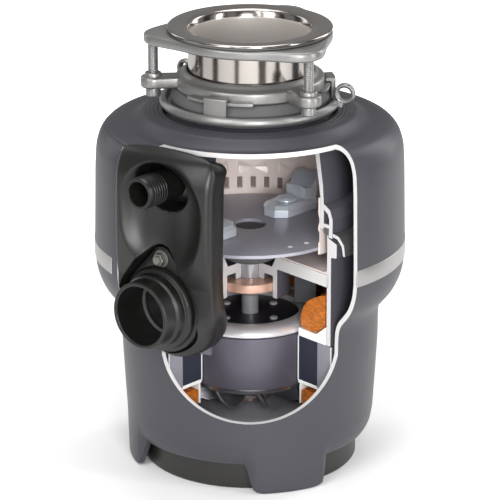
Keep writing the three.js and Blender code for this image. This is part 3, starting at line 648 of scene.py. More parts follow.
def publish(name: str, surface: Surface, finishes: list[Finish], body: str,
            replaces: tuple[str, ...] = (), angle: float = 32.0) -> bpy.types.Object:
    """Makes a piece of a surface and ties it to the frame.

    Args:
        name: the piece's name.
        surface: its points and faces, in millimetres.
        finishes: its finishes, in the order of the surface's finish numbers.
        body: CAD body it rides on.
        replaces: CAD nodes it stands for.
        angle: edges sharper than this stay sharp.

    Returns:
        The new object.
    """
    mesh = bpy.data.meshes.new(name)
    mesh.from_pydata((surface.points * MM).tolist(), [], surface.faces)
    mesh.polygons.foreach_set("material_index", np.array(surface.tints, np.int32))
    for finish in finishes:
        mesh.materials.append(finish.material())
    smooth(mesh, angle)
    piece = bpy.data.objects.new(name, mesh)
    bpy.context.scene.collection.objects.link(piece)
    if replaces:
        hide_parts(*replaces)
    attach(piece, body)
    LOG.info("%s: %d faces on %s", name, len(mesh.polygons), body)
    return piece


def softened(node: str, finish: Finish, body: str, width: float = 0.4) -> bpy.types.Object:
    """A copy of a flat-sided CAD node with its edges bevelled.

    Args:
        node: the CAD node it stands for.
        finish: its finish.
        body: CAD body it rides on.
        width: width of the bevel in millimetres.

    Returns:
        The new object.
    """
    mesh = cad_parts[node].data.copy()
    mesh.materials.clear()
    mesh.materials.append(finish.material())
    work = bmesh.new()
    work.from_mesh(mesh)
    bmesh.ops.remove_doubles(work, verts=work.verts, dist=1e-6)
    bmesh.ops.dissolve_limit(work, angle_limit=math.radians(1), verts=work.verts, edges=work.edges)
    work.to_mesh(mesh)
    work.free()
    mesh.polygons.foreach_set("material_index", np.zeros(len(mesh.polygons), np.int32))
    mesh.polygons.foreach_set("use_smooth", np.ones(len(mesh.polygons), bool))
    mesh.set_sharp_from_angle(angle=math.radians(32))
    piece = bpy.data.objects.new(f"{node}_soft", mesh)
    bpy.context.scene.collection.objects.link(piece)
    bevel = piece.modifiers.new("edge", "BEVEL")
    bevel.width = width * MM
    bevel.segments = 2
    bevel.limit_method = "ANGLE"
    bevel.angle_limit = math.radians(30)
    bevel.harden_normals = True
    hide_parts(node)
    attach(piece, body)
    LOG.info("%s: bevelled copy on %s", piece.name, body)
    return piece


# ---------------------------------------------------------------- sink mount
@dataclass
class SinkMount:
    """Flange in the sink, the plates and screws that clamp it, and the ring that carries the disposer."""

    rim_r: float = back_radius("sink_flange")
    sleeve_r: float = 42.8
    sleeve_wall: float = 1.5
    screw_circle: float = 67.0
    hook_az: tuple[float, ...] = (-24.0, 96.0, 216.0)
    loop_az: tuple[float, ...] = (78.0, -137.0)

    def flange(self) -> None:
        """The polished sink flange and its gasket."""
        inner = self.sleeve_r - self.sleeve_wall
        profile = [
            (inner, 272.0), (self.sleeve_r, 272.0), (self.sleeve_r, 309.0), (44.4, 312.0),
            (self.rim_r, 312.0),
            (self.rim_r, 313.2), (self.rim_r - 1.4, 314.0), (46.2, 313.7), (43.2, 312.4), (41.7, 308.0),
        ]
        made = revolve(profile, step=2.5, soften=1.2)
        middle = made.points[np.array(made.faces)].mean(1)
        within = (np.hypot(middle[:, 0], middle[:, 1]) < inner + 0.6) & (middle[:, 2] < 309)
        made.tints = within.astype(int).tolist()
        publish("flange_skin", made, [CHROME, SLEEVE], "housing", ("sink_flange",), 40)
        publish("gasket_ring", revolve(disc_edge(56.4, 310.5, 311.7, 45.4)), [RUBBER], "housing",
                ("fiber_gasket",))

    def backup(self) -> None:
        """Three-lobed plate: radius 57 + 16.3 exp(-(d/19)^2), where d is the way to the nearest screw."""
        az = np.arange(0, 360, 2.0)
        off = np.min([np.abs((az - s + 540) % 360 - 180) for s in SCREW_AZ], axis=0)
        x, y = at(57 + 16.3 * np.exp(-((off / 19) ** 2)), az)
        publish("backup_plate", holed(np.column_stack([x, y]), 44.2, 303.5, 310.2, 1.5), [CAST], "housing",
                ("backup_flange",), 50)

    def screw(self, number: int, az: float) -> None:
        """A long screw: its thread is r = 3.55 + 0.15 times a wave that climbs 1.3 mm a turn.

        Args:
            number: the screw's number, from 1.
            az: its azimuth.
        """
        columns = np.arange(0, 360, 20.0)
        z = np.arange(268.0, 303.3, 0.26)[:, None]
        r = 3.5 + 0.18 * np.cos(2 * math.pi * (z / 1.3 - columns[None, :] / 360))
        cx, cy = at(self.screw_circle, az)
        a = np.radians(columns)
        body = grid(np.stack([cx + r * np.cos(a), cy + r * np.sin(a), z + 0 * r], -1), wrap_columns=True)
        ends = turned_at([(0, 268.0), (3.3, 268.0), (3.3, 303.2), (0, 303.2)], cx, cy)
        head = turned_at([(0, 265.0), (4.6, 265.0), (5.2, 265.7), (5.2, 271.2), (0, 271.2)], cx, cy)
        publish(f"screw_skin_{number}", body.plus(ends, head), [ZINC], "housing",
                (f"mounting_screw_{number}",))

    def arm(self, az: float) -> Surface:
        """A box arm out to one screw, with a round end and a raised boss.

        Args:
            az: azimuth of its screw.

        Returns:
            The arm's surface.
        """
        outline = np.vstack([[(-7, 46), (7, 46)], arc(0, self.screw_circle, 8.8, -20, 200, 20)])
        turn = facing(az)
        basis = np.array([turn[:, 0], turn[:, 2], (0, 0, 1)]).T
        cx, cy = at(self.screw_circle, az)
        boss = turned_at([(3.9, 279.0), (6.2, 279.0), (5.6, 282.2), (3.9, 282.2)], cx, cy, soften=0.6)
        return plate(outline, 271.6, 279.6, 1.7).moved(basis).plus(boss)

    def ring(self) -> None:
        """Mounting ring with its arms and ramps, the snap ring, and the rubber cushion."""
        band = revolve([
            (43.6, 277.6), (48, 277.6), (48.6, 270.8), (51.6, 270.8), (51.6, 278.6), (47.6, 280.4),
            (45.4, 283), (43.6, 283),
        ], soften=1.4)
        ramps = [revolve([(51, 270.8), (55.6, 270.8), (55.6, 273.2), (51, 273.2)], (a - 26, a + 26),
                         cap_tint=0)
                 for a in self.hook_az]
        publish("mounting_casting", band.plus(*map(self.arm, SCREW_AZ), *ramps), [CAST], "housing",
                ("mounting_ring",), 40)
        snap = revolve([(42.3, 275.3), (45.6, 275.3), (45.6, 277.2), (42.3, 277.2)], (190, 530), cap_tint=0,
                       soften=0.9)
        publish("snap_wire", snap, [ZINC], "housing", ("snap_ring",))
        cushion = [(43.4, 262.4), (54.8, 261.9), (55.4, 264.6), (51.4, 270.4), (44.6, 270.4), (43, 267)]
        publish("cushion_skin", revolve(cushion, soften=1.5), [RUBBER], "housing",
                ("cushion_mount",))

    def hook(self, az: float) -> Surface:
        """One hook of the locking ring: a wall up from the rim, and a lip in over the ramp.

        Args:
            az: azimuth of its middle.

        Returns:
            The hook's surface.
        """
        span = (az - 8, az + 8)
        profile = [(56.4, 258.5), (59.2, 258.5), (59.2, 276.2), (52.4, 276.2), (52.4, 274), (56.4, 274)]
        return revolve(profile, span, step=2, cap_tint=0, soften=0.9)

    def loop(self, az: float) -> Surface:
        """One eye for a turning bar, on a short foot.

        Args:
            az: its azimuth.

        Returns:
            The eye and its foot as one surface.
        """
        profile = [(4.2, -1.8), (6.4, -2.8), (7.4, -1.4), (7.4, 1.4), (6.4, 2.8), (4.2, 1.8)]
        x, y = at(66.6, az)
        eye = revolve(profile, step=12, soften=1.2).moved(facing(az + 90), (x, y, 268.6))
        foot = outward([(-2.8, -9.2), (2.8, -9.2), (2.4, -5), (-2.4, -5)], 59.6, 65.6, az, 268.6, 0.9)
        return eye.plus(foot)

    def lock(self) -> None:
        """The locking ring: a broad rolled rim with hooks and eyes."""
        rim = revolve([
            (48.5, 257), (60.2, 257), (62.4, 258.8), (62.9, 261.2), (61.4, 264.4), (58.6, 264.4),
            (57.4, 259.4), (48.5, 259.2),
        ], soften=1.6)
        parts = [self.hook(a) for a in self.hook_az] + [self.loop(a) for a in self.loop_az]
        publish("lock_rim", rim.plus(*parts), [CAST], "lock_ring", ("lock_ring",), 40)

    def baffle(self) -> None:
        """Rubber diaphragm: eight flaps round a hole, joined at their outer edge."""
        flap = [(13, 258.2), (28, 259.6), (41, 263.7), (41, 266), (13, 260.2)]
        flaps = [revolve(flap, (a + 0.7, a + 44.3), cap_tint=0) for a in range(0, 360, 45)]
        edge = revolve([(39.6, 263), (42.6, 264.2), (42.6, 266.8), (39.6, 265.8)])
        publish("baffle_flaps", edge.plus(*flaps), [RUBBER], "housing", ("splash_baffle",))

    def build(self) -> None:
        """Makes every piece of the mount."""
        self.flange()
        self.backup()
        for number, az in enumerate(SCREW_AZ, 1):
            self.screw(number, az)
        self.ring()
        self.lock()
        self.baffle()


# ---------------------------------------------------------------- grind chamber
@dataclass
class GrindSection:
    """Upper and lower containers, the shredder ring between them, and the parts set in the drain floor."""

    chamber_r: float = 71.8
    ring_r: float = 69.8
    slot_pitch: float = 8.0
    tie_pitch: float = 24.0

    def containers(self) -> None:
        """The upper container with its hollow skirt, and the seal and band that close the joint."""
        outer = self.chamber_r + 3.5
        wall = revolve([
            (self.chamber_r, 184.5), (outer, 184.5), (outer, 201), (74.2, 215), (70, 239), (62, 247.4),
            (55.4, 250.2), (54, 247.2), (60, 244.4), (66.2, 237), (70.4, 215), (self.chamber_r, 206),
        ], Cut.SIDE, step=2)
        neck = revolve([(44, 252), (54, 247.3), (55.4, 250.1), (47.4, 253.6), (47.4, 259.5), (54.2, 259.5),
                        (54.2, 261.6), (44, 261.6)])
        skirt = revolve([
            (outer - 0.4, 186), (80.4, 186), (80.4, 179.5), (84, 179.5), (84, 193), (81.4, 199.4),
            (75.4, 202.4),
            (outer - 0.6, 199), (79, 196.2), (80.6, 192.6), (80.6, 188.6), (outer - 0.4, 188.6),
        ], Cut.SIDE, step=2)
        publish("hopper_skin", wall.plus(skirt, neck), [CONTAINER, CUT_PAINT], "housing",
                ("hopper",))
        publish("seal_ring", revolve(disc_edge(80.1, 181.4, 185.7, 75.7), Cut.SIDE, cap_tint=0), [RUBBER],
                "housing", ("container_seal",))
        band = [(84.4, 180.8), (88.8, 180.4), (93.2, 176), (94.6, 169.6), (96.6, 169.6), (95.4, 177.4),
                (90.2, 182.6), (84.4, 183.4)]
        publish("clamp_skin", revolve(band, (CUT_AZ, 360 - 82)), [CAST, CUT_PAINT], "housing",
                ("clamp_band",))

    def shredder(self) -> None:
        """Shredder ring: an inner skin dented outwards by a row of slots and a row of bow ties, with painted
        shade on the slot floors.
        """
        az = np.arange(CUT_AZ, 360 + COVER_SIDE_AZ + 0.1, 0.4)
        z = np.concatenate([np.arange(165, 205.7, 0.55), [205.7]])
        u = (az - CUT_AZ + self.slot_pitch / 2) % self.slot_pitch - self.slot_pitch / 2
        slot_across = ease((1.6 - np.abs(u)) / 0.4)[None, :]
        slot_along = (ease((z - 173.2) / 0.8) * ease((182.2 - z) / 0.8))[:, None]
        pair = (az - CUT_AZ - 4) % self.tie_pitch - self.tie_pitch / 2
        reach = np.abs(pair)[None, :] / 8.7
        side = np.abs(z - 189.5)[:, None] / 5.0
        tie = 1.5 * np.clip(1.25 * (reach - side), 0, 1) * (reach < 1)
        inner = self.ring_r + np.maximum(1.3 * slot_across * slot_along, 0.9 * tie)
        rows = np.vstack([inner, np.full((1, len(az)), 71.5), np.full((1, len(az)), 71.5)])
        heights = np.concatenate([z, [205.7, 165.0]])[:, None]
        x, y = at(rows, az[None, :])
        made = grid(np.stack([x, y, heights + 0 * rows], -1), wrap_rows=True)
        # Faces in the deeper half of a slot take the darker finish: painted shade.
        deep = np.vstack([slot_across * slot_along > 0.5, np.zeros((2, len(az)), bool)])
        made.tints = deep[:, :-1].astype(int).ravel().tolist()
        count, last = len(az), len(rows)
        made.faces += [[i * count for i in range(last)],
                       [i * count + count - 1 for i in reversed(range(last))]]
        made.tints += [0, 0]
        publish("shredder_skin", made, [GRIND, SLOT_PAINTED_SHADE], "housing", ("grind_ring",), 25)

    def floor(self) -> None:
        """The lower container: drain floor and boss, outer wall, and the duct out to the outlet."""
        boss = revolve([
            (9.2, 132.2), (14.9, 132.2), (14.9, 137), (23.9, 137), (23.9, 121), (28.3, 121), (28.3, 143),
            (79.9, 143), (79.9, 152), (27.3, 152), (23, 143.5), (9.2, 143.5),
        ], Cut.FRONT, step=2)
        wall = revolve([
            (78.9, 100.6), (82.8, 100.6), (82.8, 165.6), (88.2, 166.4), (88.2, 176.4), (80, 179), (80, 181),
            (78.9, 181),
        ], Cut.SIDE, step=2)
        wall.tints[-1] = 0
        outline = np.vstack([arc(0, 0, 25, 180, 360, 16), [(25, 40), (-25, 40)]])
        duct = holed(outline, 20.6, 80, 90).moved(facing(PORT_AZ), (0, 0, OUTLET_Z))
        publish("drain_skin", boss.plus(wall, duct), [CONTAINER, CUT_PAINT], "housing",
                ("drain_housing",))
        liner = [(30, 152.3), (78.5, 152.3), (78.5, 154.6), (77.5, 154.6), (77.5, 153.4), (30, 153.4)]
        publish("liner_skin", revolve(liner, Cut.FRONT, cap_tint=0, soften=0.3), [GRIND], "housing",
                ("floor_liner",))
        seal = [(9.3, 144), (14, 144), (21.4, 147.6), (22.6, 152.6), (20.6, 152.6), (18.4, 149),
                (12.4, 147.4),
                (9.3, 152.6)]
        publish("seal_lip", revolve(seal), [RUBBER], "housing", ("shaft_seal",))
        publish("bearing_ring", revolve(disc_edge(23.6, 125.4, 131.9, 9.1), soften=0.9), [BRONZE], "housing",
                ("upper_bearing",))

    def inlet(self) -> None:
        """The dishwasher inlet tube, with fine ribs to grip a hose."""
        ribs = []
        for d in np.arange(116.0, 101.0, -2.4):
            ribs += [(11.2, d), (11.2, d - 1.6), (10.8, d - 2.0)]
        profile = [(8.6, 78), (8.6, 118.7), (10.7, 118.7), *ribs, (10.6, 99), (10.6, 82), (14.5, 80.5),
                   (14.5, 78)]
        publish("inlet_tube", spout(profile, PORT_AZ, INLET_Z, 4, 0.3), [COVER], "housing",
                ("dishwasher_inlet",))

    def build(self) -> None:
        """Makes every piece of the grind chamber."""
        self.containers()
        self.shredder()
        self.floor()
        self.inlet()
        softened("start_switch", DARK, "housing", 0.6)


# ---------------------------------------------------------------- turning parts
@dataclass
class TurningParts:
    """Turntable with its two swivelling lugs, the shaft, and the rotor with its fan."""

    table_r: float = back_radius("turntable")
    hub_hole: float = 11.4
    rotor_r: float = back_radius("rotor_core")
    blades: int = 9
    blade_tilt: float = 30.0

    def table(self) -> None:
        """The turntable, white dots that paint the bright rim of each drain hole, a black disc that paints
        the shade in its middle hole, and the hub under it.
        """
        disc = revolve(disc_edge(self.table_r, 167, 169.5, self.hub_hole), step=2.5, cap_tint=0, soften=0.5)
        painted_glints = Surface(np.zeros((0, 3)), [], [])
        # White dots laid on the plate over each drain hole: painted highlights.
        for az in (29, 43, 209, 223):
            x, y = at(57.0, az)
            glint_dot = turned_at([(0, 169.3), (1.8, 169.3), (1.8, 169.62), (1.2, 169.56), (0, 169.5)], x, y, 20,
                            0.1)
            glint_dot.tints = [1] * len(glint_dot.faces)
            painted_glints = painted_glints.plus(glint_dot)
        # A black disc in the middle hole: painted shade, where the hole would otherwise show the hub.
        centre = revolve(disc_edge(11.2, 166.9, 167.3), step=12, soften=0.1)
        centre.tints = [2] * len(centre.faces)
        publish("turntable_skin", disc.plus(painted_glints, centre), [PLATE, INSULATION, RUBBER], "rotor",
                ("turntable",))
        hub = [(9.1, 154), (11.4, 154), (12.4, 160), (18.4, 163.4), (19.4, 166.7), (9.1, 165)]
        publish("hub_skin", revolve(hub, soften=0.8), [PLATE], "rotor", ("turntable_hub",))

    def shaft(self) -> None:
        """The shaft and the hexagon socket at its foot."""
        profile = [(0, 27), (6, 27), (6, 118), (8.8, 120), (8.8, 158), (6, 158.4), (6, 165.4), (0, 165.4)]
        publish("shaft_skin", revolve(profile, step=6, soften=0.6), [SHAFT], "rotor",
                ("rotor_shaft",))
        softened("wrench_socket", ZINC, "rotor", 0.4)

    def core(self) -> None:
        """The rotor drum, the cast ring on it, and the dark plate inside the ring."""
        drum = revolve(disc_edge(self.rotor_r, 63, 101, 6.1), step=2.5, soften=0.8)
        publish("rotor_drum", drum, [ROTOR], "rotor", ("rotor_core",))
        ring = [(35.2, 101.3), (48.9, 101.3), (48.8, 104.4), (46.6, 107.2), (42, 108), (35.2, 108)]
        publish("end_ring_skin", revolve(ring, step=2.5, soften=1.6), [ALLOY], "rotor",
                ("rotor_end_ring",))
        disc = revolve(disc_edge(34.8, 101.4, 104.4, 6.3))
        pins = []
        for az in (47.5, 132.5, -47.5, -132.5):
            x, y = at(22.6, az)
            pin = turned_at([(0, 104), (2.8, 104), (2.8, 105.6), (2.2, 106), (0, 106)], x, y, 18, 0.3)
            pin.tints = [1] * len(pin.faces)
            pins.append(pin)
        publish("end_plate_skin", disc.plus(*pins), [DARK, PLATE], "rotor",
                ("rotor_end_plate",))

    def fan(self) -> None:
        """Cast fan: a cone with twisted blades, each a plate stood on edge and tilted."""
        cone = revolve([(6.4, 44), (11, 44), (20, 56), (46, 58.6), (46, 62.7), (6.4, 62.7)], soften=1.0)
        outline = [(10, -8), (22, -12), (34, -13.6), (41, -10), (44.6, -3), (45, 5), (30, 5), (14, 5)]
        blade = plate(outline, -1.2, 1.2, 0.6)
        lean = math.radians(90 + self.blade_tilt)
        stand = np.array([(1, 0, 0), (0, math.cos(lean), -math.sin(lean)),
                          (0, math.sin(lean), math.cos(lean))])
        parts = []
        for i in range(self.blades):
            a = math.radians(i * 360 / self.blades)
            turn = np.array([(math.cos(a), -math.sin(a), 0), (math.sin(a), math.cos(a), 0), (0, 0, 1)])
            parts.append(blade.moved(stand).lifted(z=55).moved(turn))
        publish("fan_casting", cone.plus(*parts), [FAN], "rotor", ("rotor_fan",))

    def lugs(self) -> None:
        """The two lugs and the rivets that they swing on."""
        for number, az in enumerate(LUG_AZ, 1):
            softened(f"lug_{number}", LUG, f"lug_{number}", 0.7)
            x, y = at(37.6, az)
            dome = [(0, 164.6), (6.4, 164.6), (6.4, 166.7), (4.4, 166.7), (4.4, 178.4), (7.6, 178.4),
                    (7.4, 179.6),
                    (5, 181.2), (2.4, 181.6), (0, 181.6)]
            publish(f"rivet_dome_{number}", turned_at(dome, x, y, 10, 0.8), [LUG], "rotor",
                    (f"lug_rivet_{number}",))

    def build(self) -> None:
        """Makes every turning piece."""
        self.table()
        self.shaft()
        self.core()
        self.fan()
        self.lugs()


# ---------------------------------------------------------------- motor
@dataclass
class Motor:
    """Stator, windings and insulators, the can round them, and the lower end frame."""

    bore_r: float = 50.0
    slot_r: float = 69.8
    back_r: float = back_radius("stator_core")
    low_z: float = 66.5
    high_z: float = 100.0

    def stator(self) -> None:
        """Back iron and slots, the slots' cut faces dark blue-grey, with a pale liner round each cut slot
        face.
        """
        core = revolve(disc_edge(self.back_r, self.low_z, self.high_z, self.slot_r + 0.2), Cut.FRONT,
                       cap_tint=0,
                       soften=0.2)
        publish("back_iron", core, [IRON], "housing", ("stator_core",))
        slots = revolve(disc_edge(self.slot_r - 0.1, self.low_z, self.high_z, self.bore_r), Cut.FRONT,
                        soften=0.2)
        publish("slot_block", slots, [IRON, SLOT_FACE_DARK], "housing", ("stator_teeth",))
        strips = Surface(np.zeros((0, 3)), [], [])
        for r0, r1, z0, z1 in (
            (self.bore_r, self.bore_r + 1, self.low_z, self.high_z),
            (self.bore_r, self.slot_r, self.low_z, self.low_z + 1),
        ):
            for side in (CUT_AZ, -CUT_AZ):
                lip = math.copysign(0.15, side)
                span = (min(side - lip, side + lip), max(side - lip, side + lip))
                strips = strips.plus(revolve(disc_edge(r1, z0, z1, r0), span, step=0.3, cap_tint=0,
                                             soften=0))
        publish("slot_liner", strips, [INSULATION], "housing")

    def windings(self) -> None:
        """Copper end turns over and under the stator, on their white insulators."""
        upper = [(53.4, 107), (52.2, 113), (54.4, 121), (59, 127.6), (67, 132.6), (75.6, 136.4), (77.4, 134),
                 (77.5, 114), (68, 106.4)]
        publish("upper_turns", revolve(upper, Cut.FRONT, cap_tint=0, soften=3), [COPPER], "housing",
                ("upper_winding",))
        lower = [(54, 61.6), (77.4, 61.6), (77.4, 50), (72, 46), (60, 46), (54, 51)]
        publish("lower_turns", revolve(lower, Cut.FRONT, cap_tint=0, soften=3), [COPPER], "housing",
                ("lower_winding",))
        upper_white = [(50.6, 100.3), (78.2, 100.3), (78.2, 113.2), (77.8, 113.2), (68.4, 105.6),
                       (50.6, 106)]
        publish("upper_white", revolve(upper_white, Cut.FRONT, cap_tint=0), [INSULATION], "housing",
                ("upper_insulator",))
        disc = revolve(disc_edge(77.8, 65.1, 66.2, 50.6), Cut.FRONT, cap_tint=0, soften=0.2)
        collar = revolve(disc_edge(53, 50, 65.3, 52), Cut.FRONT, cap_tint=0, soften=0.2)
        publish("lower_white", disc.plus(collar), [INSULATION], "housing",
                ("lower_insulator",))

    def frame_parts(self) -> None:
        """The can, the dished lower frame, and the lower bearing."""
        publish("can_skin", revolve(disc_edge(84.1, 66.6, 100.2, 82.6), Cut.FRONT, soften=0.2),
                [CONTAINER, CUT_PAINT], "housing", ("motor_can",))
        dish = revolve([(12.9, 29), (16, 29), (48, 34), (56, 40.6), (82, 40.6), (82, 46), (78.2, 46),
                        (78.2, 44),
                        (54, 44), (46, 38.4), (16, 41), (12.9, 41)], step=2.5)
        wall = revolve(disc_edge(82, 45.8, 66.2, 78.2), Cut.FRONT)
        publish("end_frame_skin", dish.plus(wall), [FRAME, CUT_PAINT], "housing",
                ("lower_end_frame",))
        publish("lower_bush", revolve(disc_edge(12.6, 32, 40, 6.3), step=6), [BRONZE], "housing",
                ("lower_bearing",))

    def build(self) -> None:
        """Makes every piece of the motor that stands still."""
        self.stator()
        self.windings()
        self.frame_parts()
        for number in range(1, 5):
            softened(f"through_bolt_{number}", ZINC, "housing", 0.3)


# ---------------------------------------------------------------- sound shell
@dataclass
class SoundShell:
    """Two-part outer shell with its window, trim band and four feet."""

    wall: float = 3.4
    split_z: float = 156.7
    window_z: float = 53.8
    window_height: float = 55.0
    window_az: float = 43.0
    window_top_r: float = 86.0
    foot_az: tuple[float, ...] = (19.0, 139.0, 209.0, 277.0)
    arch_z: float = 21.5
    foot_top_z: float = 36.0
    neck_z: float = 248.5
    side_columns: int = 250
    window_columns: int = 56

    def lines(self) -> tuple[np.ndarray, np.ndarray]:
        """Outer (radius, z) lines of the two parts, each from the top down.

        Returns:
            The upper line and the lower line, as rows.
        """
        neck = [(61, 255)]
        for r in (63.4, 66.0, 68.6, 71.2):
            neck += [(r, 255 - (r - 61) * 0.06), (r + 0.4, 254.1), (r + 0.9, 255 - (r - 60) * 0.06)]
        neck += [(74, 254.0)]
        step = path(neck, 0.2, 0.3)
        dome = path([(74, 254.0), (79, 250.0), (83, 247.6), (86, 247.4), (91.5, 247.6), (98.5, 245.2),
                     (104, 239.4), (106.8, 230.5), (107.7, 216), (108.7, 163), (108.7, self.split_z)], 3.5,
                    1.8)
        low = path([(108.7, self.split_z), (108.7, 150.5), (107.2, 140), (103, 130), (97.6, 123.4),
                    (92.4, 117.6),
                    (90.7, 111), (90.4, 88), (88.9, 60), (87.4, self.foot_top_z)], 5, 1.0)
        top = low[low[:, 1] > self.window_z + self.window_height][::2]
        theta = np.radians(np.linspace(90, 0, 30))
        z = np.concatenate([self.window_z + self.window_height * (1 - np.cos(theta)),
                            np.linspace(self.window_z, self.foot_top_z, 12)[1:]])
        r = np.interp(z, low[::-1, 1], low[::-1, 0])
        return np.vstack([step, dome[1:]]), np.vstack([top, np.column_stack([r, z])])

    def right_edge(self, line: np.ndarray) -> np.ndarray:
        """Azimuth of the window's right side at each row; it closes to 0 at the window's lowest point.

        Args:
            line: (radius, z) of each row.

        Returns:
            Degrees, one for each row.
        """
        r, z = line[:, 0], line[:, 1]
        lift = np.clip((z - self.window_z) / self.window_height, 0, 1)
        inside = self.window_az * np.sqrt(1 - (1 - lift) ** 2)
        below = CUT_AZ * ease((self.window_z - z) / (self.window_z - self.foot_top_z))
        return np.where(z >= self.window_z, np.minimum(inside, CUT_AZ), below)

    def left_edge(self, line: np.ndarray, right: np.ndarray) -> np.ndarray:
        """Azimuth of the left side: the window's, or the far side of the hole behind the outlet cover.

        Args:
            line: (radius, z) of each row.
            right: azimuth of the right side at each row.

        Returns:
            Degrees on the far side of the front, one for each row.
        """
        r, z = line[:, 0], line[:, 1]
        below = np.sqrt(np.clip(COVER_WIDTH**2 - np.clip(COVER_FOOT_Z - z, 0, COVER_WIDTH) ** 2, 0, None))
        hole = -COVER_AZ + np.degrees(np.arcsin(np.clip(below - 1.2, 0, None) / r))
        return np.where((z > 99) & (z < 243), np.maximum(right, hole), right)

    def columns(self, line: np.ndarray) -> np.ndarray:
        """Azimuths of every point: even steps round the back, then even steps across the window.

        Args:
            line: (radius, z) of each row.

        Returns:
            Degrees, rows by columns.
        """
        right = self.right_edge(line)
        left = self.left_edge(line, right)
        back = np.linspace(0, 1, self.side_columns)[None, :]
        front = np.linspace(0, 1, self.window_columns + 1)[None, 1:-1]
        across = right[:, None] + (360 - left - right)[:, None] * back
        return np.hstack([across, -left[:, None] + (left + right)[:, None] * front])

    def table(self, line: np.ndarray, az: np.ndarray, inset: float) -> np.ndarray:
        """Points of a skin, moved in along the line's normals by an inset."""
        moved = line - normals(line) * inset
        x, y = at(moved[:, :1], az)
        return np.stack([x, y, np.repeat(moved[:, 1:], az.shape[1], 1)], -1)

    def keep(self, line: np.ndarray, low_z: float) -> np.ndarray:
        """Which quads stay: all of them but those across the window.

        Args:
            line: (radius, z) of each row.
            low_z: height that the window starts at.

        Returns:
            True for each quad that stays, rows by columns.
        """
        rows, total = len(line), self.side_columns + self.window_columns - 1
        open_row = (line[:, 1] > low_z - 1e-6) & ~((line[:, 0] < self.window_top_r) & (line[:, 1] > 240))
        kept = np.ones((rows, total), bool)
        kept[:-1, self.side_columns - 1:] = ~(open_row[:-1] & open_row[1:])[:, None]
        return kept

    def feet(self, az: np.ndarray) -> tuple[np.ndarray, np.ndarray]:
        """Rows from the wall down to the arched lower edge: z is 36 - s (36 - edge), and r blends two tucks.

        Args:
            az: azimuth of each column.

        Returns:
            The radius and the height of each point, rows by columns.
        """
        off = np.min([np.abs((az - c + 540) % 360 - 180) for c in self.foot_az], axis=0)
        edge = self.arch_z * ease((off - 16.5) / 6.0) + 2.0 * ease((off - 11.5) / 5.5) * (off < 22.5)
        edge = np.minimum(edge, self.arch_z)
        s = np.linspace(0, 1, 22)[1:, None]
        s = 1 - (1 - s) ** 1.3
        z = self.foot_top_z - s * (self.foot_top_z - edge[None, :])
        arch = np.interp(z, [21, 24, 28, self.foot_top_z], [82.2, 84.2, 86.0, 87.4])
        foot = np.interp(z, [0, 0.6, 2.4, 20, self.foot_top_z], [84.6, 85.6, 86.4, 87.0, 87.4])
        share = edge[None, :] / self.arch_z
        return arch * share + foot * (1 - share), z

    def build(self) -> None:
        """Makes the two shells and the trim band."""
        upper, lower = self.lines()
        az = self.columns(upper)
        made = walled(self.table(upper, az, 0), self.table(upper, az, self.wall), self.keep(upper, 0), True,
                      1, 2)
        publish("upper_shell_skin", self.dark_rims(made), [SHELL, CUT_PAINT, SHELL_INSIDE], "housing",
                ("upper_shell",), 35)
        az = self.columns(lower)
        r, z = self.feet(az[-1])
        x, y = at(r, az[-1][None, :])
        skirt = np.stack([x, y, z], -1)
        x, y = at(r - 4, az[-1][None, :])
        lining = np.stack([x, y, z], -1)
        outer = np.vstack([self.table(lower, az, 0), skirt])
        inner = np.vstack([self.table(lower, az, self.wall), lining])
        keep = np.vstack([self.keep(lower, self.window_z), np.ones((len(skirt), az.shape[1]), bool)])
        made = walled(outer, inner, keep, True, 1, 2)
        publish("lower_shell_skin", self.dark_rims(made), [SHELL, CUT_PAINT, SHELL_INSIDE], "housing",
                ("lower_shell",), 35)
        band = [(107.6, 150.7), (109, 150.7), (109, 162.8), (107.6, 162.8)]
        publish("trim_skin", revolve(band, (CUT_AZ, 360 - 61), step=1.5, soften=0.5), [TRIM, CUT_PAINT],
                "housing", ("trim_band",))

    def dark_rims(self, made: Surface) -> Surface:
        """Leaves only the window's rim pale; the neck and the lower edge keep the shell's own finish.

        Args:
            made: a shell with its whole rim pale.

        Returns:
            The shell with new finish numbers.
        """
        tints = np.array(made.tints)
        rim = np.flatnonzero(tints == 1)
        corners = np.array([made.faces[i] for i in rim])
        z = made.points[corners][..., 2].mean(1)
        tints[rim[(z < self.foot_top_z + 4) | (z > self.neck_z)]] = 0
        return Surface(made.points, made.faces, tints.tolist())


